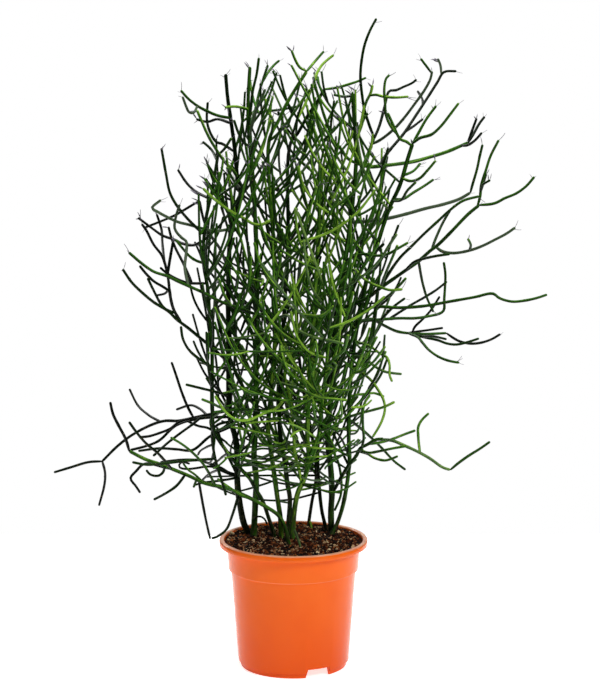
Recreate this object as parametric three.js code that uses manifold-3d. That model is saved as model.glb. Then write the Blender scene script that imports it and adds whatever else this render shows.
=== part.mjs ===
// A pencil tree, Euphorbia tirucalli, in a tapered plastic grower's pot.
//
// Millimetres, +Z up, the front faces -Y. The origin is the centre of the pot's foot, on the ground.
// Each stem is one solid with the twigs that grew from it, and stands in a plain hole in the soil.

import * as THREE from "three";
import { mergeVertices } from "three/addons/utils/BufferGeometryUtils.js";
import Module from "manifold-3d";

const wasm = await Module();
wasm.setup();

// ---------------------------------------------------------------------------------------------
// Driving sizes
// ---------------------------------------------------------------------------------------------

const POT = {
  height: 148,
  rimRadius: 85, // outside of the rolled rim: a 17 cm pot
  rimWidth: 5.5,
  rimDepth: 7,
  collarTopRadius: 76.3, // the band under the rim
  collarFootRadius: 74.6,
  collarFootZ: 113.5,
  bodyTopRadius: 71.8, // the tapered wall under the collar
  bodyFootRadius: 63.9,
  stepZ: 5.6, // top of the foot ring
  footRadius: 61,
  footWall: 2,
  wall: 1.2,
  floorZ: 12, // underside of the raised floor
  floorThickness: 1.4,
  facets: 36,
  firstFacet: 2.7, // azimuth of the first edge between two facets, in degrees
};

const NOTCH = { count: 3, firstAzimuth: -62.5, footWidth: 30, topWidth: 26, height: 10.5 };
const DRAIN = { count: 6, radius: 4.5, ring: 36, sides: 10 };

const SOIL = {
  edgeZ: 145,
  dip: 2, // how much lower the middle lies than the edge
  gap: 0.35, // left round the soil and round each stem's foot, so that no two solids touch
  facets: 30,
  ringCount: 4,
  chips: 10,
};

const FOOT_Z = 112; // how deep a stem's foot goes
const STEM_SIDES = 6;
const THICK_TWIG = 4.1; // width from which a twig has four sides, and not three
const FINE = 6; // steps between two points of a path, on the smooth curve through them
const STRAY = 1.2; // how far the sections' straight runs may stray from that curve
const SAMPLE = 3; // spacing of the points that clearances are measured between
const NECK = 0.6; // a twig's width where it leaves its stem, as a share of its width further out
const CLEARANCE = 1.0; // least gap kept between two twigs, measured between those points

// ---------------------------------------------------------------------------------------------
// Solids
// ---------------------------------------------------------------------------------------------

/** A closed three.js geometry as a solid that can be joined and cut. */
function solidOf(geometry) {
  const bare = geometry.clone();
  bare.deleteAttribute("normal");
  bare.deleteAttribute("uv");
  const merged = mergeVertices(bare, 1e-4);
  return new wasm.Manifold(
    new wasm.Mesh({
      numProp: 3,
      vertProperties: new Float32Array(merged.attributes.position.array),
      triVerts: new Uint32Array(merged.index.array),
    }),
  );
}

/** The joined solid of a list of solids. */
function joined(solids) {
  return wasm.Manifold.union(solids);
}

/** A named mesh of a solid, in its own material. */
function meshOf(name, solid, look) {
  const { vertProperties, triVerts, numProp } = solid.getMesh();
  const geometry = new THREE.BufferGeometry();
  geometry.setAttribute(
    "position",
    new THREE.InterleavedBufferAttribute(new THREE.InterleavedBuffer(vertProperties, numProp), 3, 0),
  );
  geometry.setIndex(new THREE.BufferAttribute(triVerts, 1));
  const mesh = new THREE.Mesh(geometry, new THREE.MeshStandardMaterial({ metalness: 0, ...look }));
  mesh.name = name;
  return mesh;
}

/** A profile of (radius, height) points turned round the Z axis, from an azimuth in degrees. */
function turned(profile, facets, azimuth = 0) {
  const points = profile.map(([radius, z]) => new THREE.Vector2(radius, z));
  const geometry = new THREE.LatheGeometry(points, facets).rotateX(Math.PI / 2);
  return geometry.rotateZ(THREE.MathUtils.degToRad(azimuth));
}

/** How far the corners of a section with few sides lie from its middle, for the area of a round one. */
function cornerRadius(radius, sides) {
  const turn = (2 * Math.PI) / sides;
  return radius * Math.sqrt(turn / Math.sin(turn));
}

/** A closed tapered rod along a row of points, flat at both ends, with its corners at these radii. */
function rod(points, radii, sides) {
  const positions = [];
  const faces = [];
  const tangent = new THREE.Vector3();
  const across = new THREE.Vector3();
  const side = new THREE.Vector3(0, 1, 0);
  points.forEach((point, i) => {
    const before = points[Math.max(i - 1, 0)];
    const after = points[Math.min(i + 1, points.length - 1)];
    tangent.subVectors(after, before).normalize();
    if (i === 0 && Math.abs(tangent.y) > 0.9) side.set(1, 0, 0);
    side.addScaledVector(tangent, -side.dot(tangent)).normalize(); // carried along without twisting
    across.crossVectors(tangent, side);
    for (let k = 0; k < sides; k++) {
      const angle = (2 * Math.PI * k) / sides;
      const corner = point
        .clone()
        .addScaledVector(side, radii[i] * Math.cos(angle))
        .addScaledVector(across, radii[i] * Math.sin(angle));
      positions.push(...corner.toArray());
    }
    if (i === 0) return;
    for (let k = 0; k < sides; k++) {
      const a = (i - 1) * sides + k;
      const b = (i - 1) * sides + ((k + 1) % sides);
      faces.push(a, b, b + sides, a, b + sides, a + sides);
    }
  });
  const last = (points.length - 1) * sides;
  for (let k = 1; k < sides - 1; k++) faces.push(0, k + 1, k, last, last + k, last + k + 1);
  const geometry = new THREE.BufferGeometry();
  geometry.setAttribute("position", new THREE.Float32BufferAttribute(positions, 3));
  geometry.setIndex(faces);
  return geometry;
}

/** Draws in 0..1 that are the same at every run. */
function seeded(seed) {
  let state = seed >>> 0;
  return () => {
    state = (state + 0x6d2b79f5) >>> 0;
    let mixed = Math.imul(state ^ (state >>> 15), state | 1);
    mixed ^= mixed + Math.imul(mixed ^ (mixed >>> 7), mixed | 61);
    return ((mixed ^ (mixed >>> 14)) >>> 0) / 4294967296;
  };
}

// ---------------------------------------------------------------------------------------------
// Pot
// ---------------------------------------------------------------------------------------------

/** The pot's wall, collar, rim, foot ring and raised floor as one profile, from the foot round. */
function potProfile() {
  const inner = (radius) => radius - POT.wall;
  const lipInner = POT.rimRadius - POT.rimWidth;
  const rimFootZ = POT.height - POT.rimDepth;
  const bead = 1.3; // rounding of the rim's edges
  return [
    [0, POT.floorZ],
    [POT.footRadius - POT.footWall - 0.4, POT.floorZ],
    [POT.footRadius - POT.footWall, 0],
    [POT.footRadius, 0],
    [POT.footRadius, POT.stepZ - 0.4],
    [POT.bodyFootRadius, POT.stepZ + 0.6],
    [POT.bodyTopRadius, POT.collarFootZ - 1],
    [POT.collarFootRadius, POT.collarFootZ + 0.5],
    [POT.collarTopRadius, rimFootZ - 0.6],
    [POT.rimRadius - 0.6, rimFootZ],
    [POT.rimRadius, rimFootZ + 0.6],
    [POT.rimRadius, POT.height - bead],
    [POT.rimRadius - bead, POT.height],
    [lipInner + bead, POT.height],
    [lipInner, POT.height - bead],
    [lipInner - 0.6, rimFootZ],
    [inner(POT.collarTopRadius), rimFootZ - 3],
    [inner(POT.collarFootRadius), POT.collarFootZ + 1.8],
    [inner(POT.bodyTopRadius), POT.collarFootZ - 0.6],
    [inner(POT.bodyFootRadius) + 0.5, POT.floorZ + POT.floorThickness + 1],
    [inner(POT.bodyFootRadius) - 0.6, POT.floorZ + POT.floorThickness],
    [0, POT.floorZ + POT.floorThickness],
  ];
}

/** One tapered slot through the foot ring and the lowest part of the wall, turned to its place. */
function notchCutter(azimuth) {
  const below = 1;
  const flare = (NOTCH.footWidth - NOTCH.topWidth) / 2 / NOTCH.height;
  const half = NOTCH.footWidth / 2;
  const outline = new THREE.Shape([
    new THREE.Vector2(-half - flare * below, -below),
    new THREE.Vector2(half + flare * below, -below),
    new THREE.Vector2(NOTCH.topWidth / 2, NOTCH.height),
    new THREE.Vector2(-NOTCH.topWidth / 2, NOTCH.height),
  ]);
  const geometry = new THREE.ExtrudeGeometry(outline, { depth: 20, bevelEnabled: false });
  geometry.rotateX(Math.PI / 2); // the outline stands upright and runs out along -Y
  geometry.translate(0, -POT.footRadius + 9, 0);
  geometry.rotateZ(THREE.MathUtils.degToRad(azimuth + 90));
  return solidOf(geometry);
}

function drainCutter(azimuth) {
  const geometry = new THREE.CylinderGeometry(DRAIN.radius, DRAIN.radius, 8, DRAIN.sides);
  geometry.rotateX(Math.PI / 2);
  geometry.translate(DRAIN.ring, 0, POT.floorZ + POT.floorThickness / 2);
  geometry.rotateZ(THREE.MathUtils.degToRad(azimuth));
  return solidOf(geometry);
}

function makePot() {
  const cutters = [];
  for (let i = 0; i < NOTCH.count; i++) {
    cutters.push(notchCutter(NOTCH.firstAzimuth + (360 / NOTCH.count) * i));
  }
  for (let i = 0; i < DRAIN.count; i++) cutters.push(drainCutter((360 / DRAIN.count) * i));
  const solid = solidOf(turned(potProfile(), POT.facets, POT.firstFacet)).subtract(joined(cutters));
  return meshOf("pot", solid, { color: 0xf0672f, roughness: 0.32 });
}

// ---------------------------------------------------------------------------------------------
// Plant: where each stem and twig runs
// ---------------------------------------------------------------------------------------------

// The plant is laid out as it is seen by an eye in front of it. A point (across, up) lies on the plane
// through the pot's axis that faces the eye, and is moved along the line of sight to its own depth.
const EYE = new THREE.Vector3(7.5, -2500, 784);

function placed(across, up, depth) {
  const share = (depth - EYE.y) / -EYE.y;
  return new THREE.Vector3(EYE.x + (across - EYE.x) * share, depth, EYE.z + (up - EYE.z) * share);
}

/** Where a point is seen on that plane. */
function seen(point) {
  const share = (point.y - EYE.y) / -EYE.y;
  return [EYE.x + (point.x - EYE.x) / share, EYE.z + (point.z - EYE.z) / share];
}

// name, widths at foot and top, depths from foot to top, and the points (across, up) it is seen to pass.
const STEMS = [
  ["stem_left_outer", 8.6, 4.4, [35, 34, 30, 20], [-52, 153, -57, 166, -62, 193, -64, 213, -65, 260, -72,
    290, -73, 360, -73, 449, -69, 510, -59, 545, -62, 559, -64, 578, -65.5, 596, -70.5, 633, -73, 652,
    -75, 677]],
  ["stem_left_inner", 8.4, 4.2, [22, 14, 4, 0], [-45.5, 150, -44, 181, -42.5, 216, -45, 245, -44, 260,
    -42, 350, -41, 460, -45, 560, -50, 620, -50, 650, -48, 685]],
  ["stem_far_left", 5.2, 4.0, [23, -6, -34, -30, -14, 6], [-21, 146, -29.5, 175, -35, 191, -44, 207, -50,
    218, -60, 229, -77, 251, -90, 273, -92, 299, -92, 340, -92, 363, -94, 388, -96, 434, -101, 467, -98.5,
    512, -91, 546, -84, 587]],
  ["stem_mid_left", 6.6, 4.2, [18, 24, 40, 34, 16], [-14, 144.5, -15, 172, -18, 193, -21, 216, -27, 260,
    -29, 276, -25, 320, -21, 375, -20, 440, -24, 520, -27, 603, -16, 626, -8.5, 642, 4, 663, 15, 680]],
  ["stem_mid_dark", 6.4, 4.0, [4, 10, 44, 72, 64], [-8, 141.5, -4, 193, -7, 213, -10, 238, -14, 260, -16,
    290, -12, 380, -6, 490, -3.5, 599, 6, 613, 16, 631, 27, 647, 34, 660]],
  ["stem_mid_fork", 7.0, 4.2, [16, 2, -14, -22, -20], [-1.5, 144, 2, 187, 6, 204, 10.5, 213, 15, 226,
    17.5, 245, 16, 264, 18, 330, 24, 420, 28, 500, 33, 572]],
  ["stem_right_thin", 4.8, 4.0, [48, 52, 70, 64, 50], [37.5, 156, 32.5, 180, 30, 201, 28, 230, 28, 256,
    34, 310, 50, 366, 62, 420, 72, 447, 83, 469, 93, 479, 102, 488]],
  ["stem_right_thick", 8.4, 4.6, [37, 24, 12, 2, -6], [43.5, 150, 43, 181, 44, 201, 42.5, 230, 40, 252,
    39, 278, 45, 330, 48, 400, 60, 480, 70, 577, 69.5, 605, 67, 638, 66, 656]],
  ["stem_right_outer", 5.4, 5.0, [24, 22, 14, -8, -26], [42, 147, 50, 165, 56, 184, 60, 204, 62.6, 223,
    64, 241, 63, 262, 64, 320, 70, 380, 84.5, 455, 90, 475, 96, 492, 101.5, 510, 108.5, 530, 119, 553,
    128, 584, 133, 600]],
  ["stem_back", 4.4, 3.8, [62, 66, 84, 92], [17, 160, 21, 190, 26, 219, 22, 262, 10, 330, 4, 400, 8, 470,
    20, 534]],
  ["shoot_low_left", 5.2, 4.4, [-10, -26, -34, -30, -22], [-5, 139, -15, 172, -30, 184, -44, 192, -60,
    200, -78, 207, -103, 213, -117, 220, -131, 226, -153, 235, -168, 240, -187, 250]],
  ["shoot_front", 4.0, 3.0, [-24, -26], [9, 133, 5, 147, 1, 158]],
];

// name, what it grows from, depth of its tip, widths at root and tip, and the points it is seen to pass.
const TWIGS = [
  // low left
  ["low_left_1", "shoot_low_left", -49, 4.2, 3.6, [-187, 250, -191, 264, -199, 280, -205, 293, -208,
    307]],
  ["low_left_2", "shoot_low_left", -109, 4.0, 3.4, [-138, 231, -155, 248, -167, 258, -178, 271, -187,
    284]],
  ["low_left_3", "shoot_low_left", -20, 4.0, 3.4, [-139, 231, -170, 235, -179, 227, -186, 218, -180, 209,
    -175, 201]],
  ["low_left_4", "shoot_low_left", -73, 3.8, 3.2, [-147, 231, -149, 225, -155, 221, -164, 223, -168,
    228]],
  ["low_left_5", "shoot_low_left", -84, 4.0, 3.4, [-124, 222, -134, 209, -147, 200, -160, 193]],
  ["low_left_6", "shoot_low_left", -120, 3.6, 3.2, [-88, 209, -103, 235, -117, 250, -127, 258, -140,
    266]],
  ["low_left_7", "shoot_low_left", -64, 3.8, 3.2, [-63, 201, -70, 175, -77, 158, -87, 150, -94, 147.5]],
  ["low_left_8", "shoot_low_left", -11, 3.8, 3.2, [-108, 214, -104, 190, -100, 168, -96, 152]],
  ["low_left_9", "shoot_low_left", -56, 3.6, 3.2, [-110, 217, -114, 208]],
  ["low_left_10", "stem_left_outer", 42, 4.2, 3.6, [-72, 290, -105, 288, -133, 280, -153, 262, -167, 256,
    -186, 251]],
  ["low_left_11", "stem_left_outer", 11, 4.0, 3.4, [-72, 278, -95, 267, -115, 251, -133, 252, -153, 253,
    -177, 250]],
  ["low_left_arch", "stem_left_outer", 70, 4.4, 3.8, [-72, 297, -107, 290, -131, 285, -146, 285, -160,
    281, -183, 269, -200, 256, -218, 238]],
  ["low_left_12", "low_left_arch", 64, 3.8, 3.4, [-218, 238, -234, 237, -254, 231, -273.5, 225]],
  ["low_left_13", "low_left_arch", 104, 3.8, 3.2, [-218, 238, -215, 225, -216, 210, -222.5, 186]],
  ["low_left_14", "low_left_arch", -17, 3.8, 3.4, [-112, 290, -131, 283, -140, 276, -152, 271, -165, 267,
    -176, 266]],
  ["low_left_15", "low_left_arch", -62, 3.8, 3.4, [-104, 291, -116, 280, -131, 269, -146, 257, -160,
    244]],
  ["low_left_16", "low_left_arch", 25, 4.0, 3.4, [-113, 288, -120, 301, -127, 319, -133, 338, -138, 353]],
  ["low_left_17", "low_left_arch", 134, 3.8, 3.4, [-98, 292, -108, 300, -118, 303, -133, 298]],
  ["low_left_18", "stem_left_outer", -48, 4.0, 3.4, [-72, 314, -94, 320, -122, 327]],
  ["low_left_19", "stem_left_outer", -81, 3.8, 3.4, [-72, 298, -84, 301, -94, 306, -104, 310]],
  ["low_left_droop", "stem_left_outer", -73, 4.0, 3.4, [-72, 284, -85, 281, -92, 274, -90, 245, -84, 223,
    -77, 198]],
  ["low_left_20", "low_left_droop", -92, 3.8, 3.4, [-90, 240, -117, 239, -153, 235, -167, 234, -184,
    237]],
  ["low_left_21", "stem_far_left", -70, 3.8, 3.4, [-92, 346, -110, 359, -119, 368, -125, 380, -127, 394]],
  ["low_left_22", "low_left_arch", 182, 3.8, 3.2, [-150, 284, -165, 292, -178, 305, -186, 322]],
  // middle left
  ["mid_left_1", "stem_left_outer", -90, 4.6, 3.6, [-73, 352, -94, 371, -107, 382, -119, 392, -132, 402,
    -141, 411, -157, 421, -169, 431, -182, 444, -192, 459]],
  ["mid_left_2", "stem_mid_left", -118, 4.4, 3.6, [-21, 400, -57, 413, -82, 422, -101, 432, -130, 445,
    -142, 451, -157, 456, -170, 465, -185, 478]],
  ["mid_left_3", "mid_left_1", 20, 4.2, 3.4, [-128, 399, -135, 413, -139, 430, -141, 449, -147, 473, -157,
    487, -165, 503, -170, 510]],
  ["mid_left_4", "mid_left_3", -34, 3.8, 3.4, [-139, 433, -147, 439, -157, 445, -166, 454, -173, 463]],
  ["mid_left_5", "mid_left_3", 42, 3.6, 3.2, [-138, 427, -140, 436, -145, 431, -154, 429]],
  ["mid_left_6", "stem_far_left", 11, 4.0, 3.4, [-98, 443, -122, 444, -142, 454, -150, 461]],
  ["mid_left_7", "stem_far_left", 81, 4.2, 3.4, [-99, 492, -112, 486, -125, 488, -133, 492, -147, 497,
    -157, 504, -174, 517]],
  ["mid_left_8", "stem_left_outer", 118, 4.2, 3.6, [-72, 458, -83, 483, -90, 493, -100, 513, -105, 536]],
  ["mid_left_9", "mid_left_8", 129, 3.8, 3.4, [-105, 536, -115, 530, -132, 520, -148, 513, -166, 506]],
  ["mid_left_10", "stem_left_outer", -64, 4.2, 3.6, [-69, 503, -88, 502, -103, 505, -117, 509, -129, 512,
    -140, 517, -151, 523, -158, 528, -148, 537]],
  ["mid_left_11", "mid_left_3", 87, 3.8, 3.4, [-145, 467, -147, 489, -148, 505, -153, 521]],
  ["mid_left_12", "mid_left_6", 50, 3.8, 3.4, [-113, 444, -124, 466, -132, 482, -137, 495, -140, 507]],
  ["mid_left_13", "mid_left_2", -50, 4.0, 3.4, [-118, 440, -122, 461, -120, 480, -120, 490, -126, 495,
    -133, 505, -131, 520, -127, 532]],
  ["mid_left_14", "stem_far_left", -84, 3.8, 3.4, [-101, 465, -108, 468, -116, 473, -124, 482, -132,
    492]],
  ["mid_left_15", "mid_left_3", -11, 4.2, 3.6, [-141, 450, -140, 462, -135, 490]],
  ["mid_left_16", "mid_left_2", -154, 3.8, 3.4, [-70, 418, -78, 430, -84, 448]],
  ["mid_left_17", "stem_far_left", -48, 4.0, 3.4, [-100, 498, -115, 512, -130, 530, -138, 545, -142, 565,
    -147, 595]],
  ["mid_left_18", "stem_far_left", 64, 4.0, 3.4, [-95, 538, -110, 547, -120, 557, -129, 571]],
  ["mid_left_arc", "stem_mid_left", -109, 4.2, 3.6, [-24, 516, -36, 509, -45, 510, -55, 516, -70, 524,
    -80, 531, -92, 541, -101, 550]],
  ["mid_left_19", "mid_left_3", -84, 3.8, 3.4, [-133, 408, -146, 415, -158, 436, -164, 449]],
  // upper left
  ["up_left_1", "stem_left_outer", -28, 4.2, 3.4, [-70.5, 628, -84, 631, -94, 635, -107, 642, -117, 650,
    -125, 659]],
  ["up_left_2", "up_left_1", -64, 3.6, 3.2, [-107, 642, -111, 634, -116, 635, -119, 641, -123, 652]],
  ["up_left_3", "stem_left_outer", 67, 4.0, 3.4, [-69, 621, -85, 627, -96, 624, -108, 627]],
  ["up_left_4", "stem_left_outer", -87, 4.2, 3.4, [-62.5, 562, -68, 571, -76, 579, -87, 595, -95, 609,
    -102, 625, -107, 637]],
  ["up_left_5", "stem_left_outer", 48, 4.0, 3.4, [-65, 592, -80, 600, -85, 601, -92, 611, -96, 625, -95,
    646]],
  ["up_left_6", "stem_far_left", -28, 3.8, 3.4, [-84, 586, -76, 595, -69, 606]],
  ["up_left_7", "stem_far_left", 48, 3.8, 3.4, [-85, 582, -92, 594, -101, 602]],
  ["up_left_8", "stem_left_outer", -126, 3.8, 3.4, [-60, 550, -68, 561, -74, 573]],
  ["up_left_9", "stem_left_inner", -62, 4.0, 3.4, [-48, 596, -55, 601, -62, 614, -66, 626]],
  ["up_left_10", "stem_left_inner", -42, 3.8, 3.4, [-50, 636, -58, 640, -66, 641, -76, 640]],
  ["top_left_1", "stem_left_inner", -36, 4.0, 3.4, [-50, 620, -47, 640, -45, 658, -40.5, 677, -38, 695]],
  ["top_left_2", "stem_left_inner", 48, 4.2, 3.4, [-50, 616, -42, 638, -38, 656, -33, 672, -28, 687]],
  ["top_left_3", "top_left_2", 73, 3.6, 3.2, [-35, 667, -27, 680, -20, 688, -15, 692]],
  ["top_left_4", "stem_left_inner", -73, 3.8, 3.4, [-48, 608, -44, 626, -40.5, 638, -31, 660]],
  ["top_left_5", "stem_mid_left", -42, 3.8, 3.4, [-26, 606, -23, 627, -30, 638, -31, 650]],
  ["top_left_6", "top_left_2", 118, 3.8, 3.4, [-43, 634, -27, 636, -11, 638, 4, 641]],
  // top
  ["top_1", "stem_mid_left", 8, 3.8, 3.2, [15, 680, 7.5, 684, 2.5, 692, -2, 703]],
  ["top_2", "stem_mid_left", 42, 3.8, 3.2, [14, 679, 20, 686, 26, 693, 34, 702]],
  ["top_3", "stem_mid_left", -48, 4.0, 3.4, [-26, 604, -18, 610, -5, 626, 6, 642, 18.5, 660]],
  ["top_4", "stem_mid_dark", 62, 4.0, 3.2, [34, 660, 43, 661, 53, 663, 63, 666, 72, 669, 81, 673]],
  ["top_5", "stem_mid_dark", 118, 3.6, 3.2, [32, 657, 29, 664, 27, 674]],
  ["top_arch", "stem_right_thick", -56, 4.4, 3.4, [70, 577, 60, 584, 53, 594, 44, 604, 39.5, 617, 34, 632,
    30, 645, 26, 658, 22, 674]],
  ["top_6", "top_arch", -36, 3.6, 3.2, [22.5, 672, 32, 687, 41, 695, 45, 698]],
  ["top_7", "stem_right_thick", 36, 3.8, 3.4, [66, 654, 55, 652, 45, 654]],
  ["top_8", "stem_right_thick", -48, 4.2, 3.6, [69.5, 603, 76.5, 622, 77.5, 633, 81.5, 647, 86, 656, 88,
    665]],
  ["top_9", "top_8", -73, 3.8, 3.2, [85, 654, 92, 654, 100, 652, 115, 651, 128, 652]],
  ["top_right_root", "stem_right_thick", 56, 4.8, 4.2, [66, 545, 78, 575, 90, 606]],
  ["top_tall", "top_right_root", 31, 4.2, 3.4, [90, 605, 84, 622, 79, 638, 76.5, 653, 74.5, 673, 75.5,
    690, 79, 709, 85, 725, 92, 738]],
  ["top_10", "top_right_root", 92, 4.0, 3.4, [89, 602, 96, 620, 102, 643, 106.5, 658, 114, 659, 123, 663,
    132, 667, 137, 671]],
  ["top_11", "top_right_root", 8, 4.0, 3.4, [88, 599, 97, 604, 111, 615, 123, 628, 135, 644, 145, 658,
    152, 671, 154, 680]],
  ["top_12", "top_11", 0, 3.6, 3.2, [153, 677, 148, 685, 141, 694]],
  // upper right
  ["up_right_1", "stem_right_thick", 36, 5.2, 4.4, [70, 577, 86, 574, 98, 575, 116, 577, 135, 580, 153,
    585, 172, 591, 195, 601]],
  ["up_right_2", "up_right_1", 20, 3.8, 3.4, [194, 600, 198, 611, 204, 628]],
  ["up_right_3", "up_right_1", 62, 3.8, 3.4, [195, 601, 201, 611, 207, 622, 213, 630]],
  ["up_right_4", "up_right_1", -17, 3.8, 3.4, [188, 597, 194, 598, 203, 604, 210, 612]],
  ["up_right_5", "up_right_1", 129, 4.2, 3.6, [95, 574, 104, 588, 123, 611, 135, 629, 148, 649, 160, 668,
    167, 679, 181, 680]],
  ["up_right_6", "up_right_5", 137, 3.6, 3.2, [165, 676, 163, 687, 160, 694]],
  ["up_right_7", "up_right_5", 165, 3.6, 3.2, [144, 643, 143, 650, 138, 658]],
  ["up_right_8", "up_right_5", 148, 3.8, 3.4, [124, 612, 135, 620, 144, 627]],
  ["up_right_9", "stem_right_outer", -25, 4.0, 3.4, [133, 600, 138, 609, 148, 627, 159, 642]],
  ["up_right_10", "stem_right_outer", -73, 4.2, 3.4, [133, 599, 141, 606, 154, 610, 165, 620, 175, 633,
    184, 645]],
  ["up_right_11", "stem_right_outer", -62, 4.0, 3.4, [132, 598, 126, 602, 119, 605, 111, 621, 105, 634]],
  ["up_right_12", "up_right_11", -92, 3.8, 3.2, [116, 608, 108, 620, 103, 632, 102, 645, 101, 660, 103,
    672, 107, 676]],
  ["up_right_13", "stem_right_outer", -62, 4.0, 3.4, [121, 560, 131, 558, 141, 561, 149, 569, 159, 581]],
  ["up_right_14", "stem_right_outer", 22, 3.8, 3.4, [122, 563, 135, 570, 142, 578]],
  ["up_right_15", "stem_right_outer", -98, 3.8, 3.4, [112, 536, 121, 537, 128, 548, 137, 557]],
  ["up_right_16", "stem_right_outer", 6, 3.8, 3.4, [113, 539, 123, 538, 134, 545, 147, 553, 157, 560]],
  // middle right
  ["mid_right_1", "stem_right_thick", 87, 5.0, 4.2, [62, 511, 84, 513, 105, 516, 126, 521, 147, 527, 168,
    532, 186, 538, 198, 545]],
  ["mid_right_2", "mid_right_1", 84, 3.8, 3.4, [197, 544, 200, 553, 205, 571, 208, 586, 211, 599]],
  ["mid_right_3", "stem_right_thick", -50, 5.2, 4.2, [50, 414, 70, 420, 85, 427, 96, 436, 110, 446, 127,
    458, 141, 468, 153, 479, 162, 486, 176, 500, 190, 515, 197, 522, 208, 531]],
  ["mid_right_4", "mid_right_3", -62, 4.0, 3.4, [208, 531, 225, 533, 237, 539, 249, 544, 260, 552, 269.5,
    563]],
  ["mid_right_5", "mid_right_3", -42, 4.0, 3.4, [207, 530, 209, 541, 210, 553, 215, 570, 220, 586, 229,
    604]],
  ["mid_right_6", "mid_right_5", -78, 3.6, 3.2, [209.5, 546, 213, 555, 220, 559]],
  ["mid_right_7", "mid_right_5", -22, 3.6, 3.2, [209.5, 543, 212, 554, 215.5, 566]],
  ["mid_right_8", "mid_right_3", -98, 4.2, 3.4, [98, 438, 108, 455, 120, 472, 132, 484, 148, 500, 162,
    513, 176, 526, 190, 536, 208, 541]],
  ["mid_right_9", "mid_right_3", 20, 3.8, 3.4, [155, 481, 162, 499, 169, 514, 176, 526]],
  ["mid_right_10", "mid_right_3", -87, 4.2, 3.4, [160, 485, 167, 479, 180, 477, 198, 480, 212, 485, 226,
    492, 239, 499, 249, 506]],
  ["mid_right_11", "mid_right_10", -112, 3.6, 3.2, [198, 480, 199, 487, 196, 493]],
  ["mid_right_12", "mid_right_3", -115, 3.8, 3.4, [125, 457, 136, 467, 148, 471, 162, 474, 176, 476]],
  ["mid_right_13", "mid_right_3", 14, 3.8, 3.2, [141, 468, 143, 455, 146, 441, 151, 425, 158, 410]],
  ["mid_right_14", "stem_right_outer", 50, 4.2, 3.4, [74, 400, 104, 402, 120, 403, 137, 403, 151, 405,
    169, 411, 170, 425, 171, 453, 169, 467]],
  ["mid_right_15", "stem_right_outer", -58, 4.6, 3.4, [76, 411, 91, 416, 120, 415, 148, 417, 176, 422,
    204, 427, 225, 431, 232, 426, 246, 422, 260, 423, 274, 426, 286, 430]],
  ["mid_right_16", "mid_right_14", 109, 3.8, 3.4, [108, 402, 134, 419, 148, 427, 162, 436, 173, 445]],
  ["mid_right_17", "mid_right_15", -129, 3.8, 3.4, [94, 416, 101, 424, 110, 431, 120, 441, 127, 449]],
  ["mid_right_18", "stem_right_outer", 53, 3.8, 3.4, [84, 453, 95, 463, 104, 480, 113, 496, 118, 509]],
  ["mid_right_19", "stem_right_thick", -87, 4.0, 3.4, [58, 468, 78, 476, 92, 474, 106, 476, 117, 482, 129,
    489]],
  ["mid_right_20", "mid_right_3", -140, 3.8, 3.4, [98, 438, 103, 452, 110, 469, 117, 486]],
  ["mid_right_21", "stem_right_thick", -134, 3.8, 3.4, [56, 455, 69, 458, 77, 450, 87, 443, 99, 438, 110,
    435, 123, 436]],
  ["mid_right_22", "mid_right_14", 0, 3.8, 3.4, [100, 401, 106, 409, 114, 417, 126, 426]],
  // low right
  ["low_right_1", "stem_right_outer", 92, 4.4, 3.6, [74, 400, 89, 402, 100, 396, 117, 388, 129, 386, 148,
    385, 173, 386]],
  ["low_right_2", "low_right_1", 81, 3.8, 3.4, [173, 386, 177, 383, 187, 377, 200, 374, 212, 375, 224,
    379, 234, 385]],
  ["low_right_3", "low_right_1", 39, 3.8, 3.4, [129, 386, 149, 381, 163, 378, 174, 374, 185, 373, 198,
    376, 210, 380]],
  ["low_right_4", "low_right_1", 134, 3.6, 3.2, [129, 386, 142, 388, 156, 390, 169, 392]],
  ["low_right_5", "low_right_3", -8, 3.6, 3.2, [147, 381, 160, 382, 173, 379]],
  ["low_right_6", "low_right_1", -20, 3.8, 3.4, [129, 386, 141, 381, 146, 375, 154, 366, 166, 358, 177,
    354, 188, 352]],
  ["low_right_7", "low_right_1", 62, 3.6, 3.2, [134, 386, 137, 393, 145, 401, 155, 412, 165, 428]],
  ["low_right_8", "stem_right_outer", -39, 4.0, 3.4, [68, 360, 81, 357, 92, 348, 103, 342, 113, 340, 123,
    339]],
  ["low_right_9", "stem_right_outer", -92, 3.8, 3.2, [72, 376, 88, 370, 99, 362, 106, 358, 109, 349, 109,
    338, 112, 330]],
  ["low_right_10", "stem_right_outer", -112, 3.8, 3.4, [66, 328, 82, 338, 92, 348, 100, 357]],
  ["low_right_11", "stem_right_outer", 42, 4.0, 3.4, [64, 296, 78, 309, 89, 323, 99, 338, 106, 356]],
  ["low_right_12", "stem_right_outer", -67, 4.0, 3.2, [66, 344, 78, 340, 88, 332, 96, 321, 102, 310, 104,
    299, 101, 286, 95, 274, 90, 266]],
  ["low_right_13", "stem_right_outer", 73, 3.8, 3.4, [64, 313, 71, 315, 82, 316, 92, 317, 103, 313]],
  ["low_right_14", "stem_right_outer", -106, 3.8, 3.4, [64, 290, 77, 294, 92, 298, 105, 302, 115, 307]],
  ["low_right_15", "stem_right_outer", 92, 4.0, 3.4, [63, 288, 78, 275, 89, 265, 102, 252, 115, 238, 128,
    228]],
  ["low_right_stem", "stem_right_thick", -20, 5.0, 4.4, [44, 200, 50, 211, 62, 232, 72, 245, 76, 253, 85,
    258, 93, 263, 103, 264]],
  ["low_right_16", "low_right_stem", -56, 4.4, 3.8, [101, 264, 113, 262, 125, 257, 142, 249, 156, 241,
    170, 231, 179, 228]],
  ["low_right_17", "low_right_16", -50, 3.8, 3.4, [178, 228, 187, 235, 199, 244, 213, 253, 224, 261]],
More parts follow.
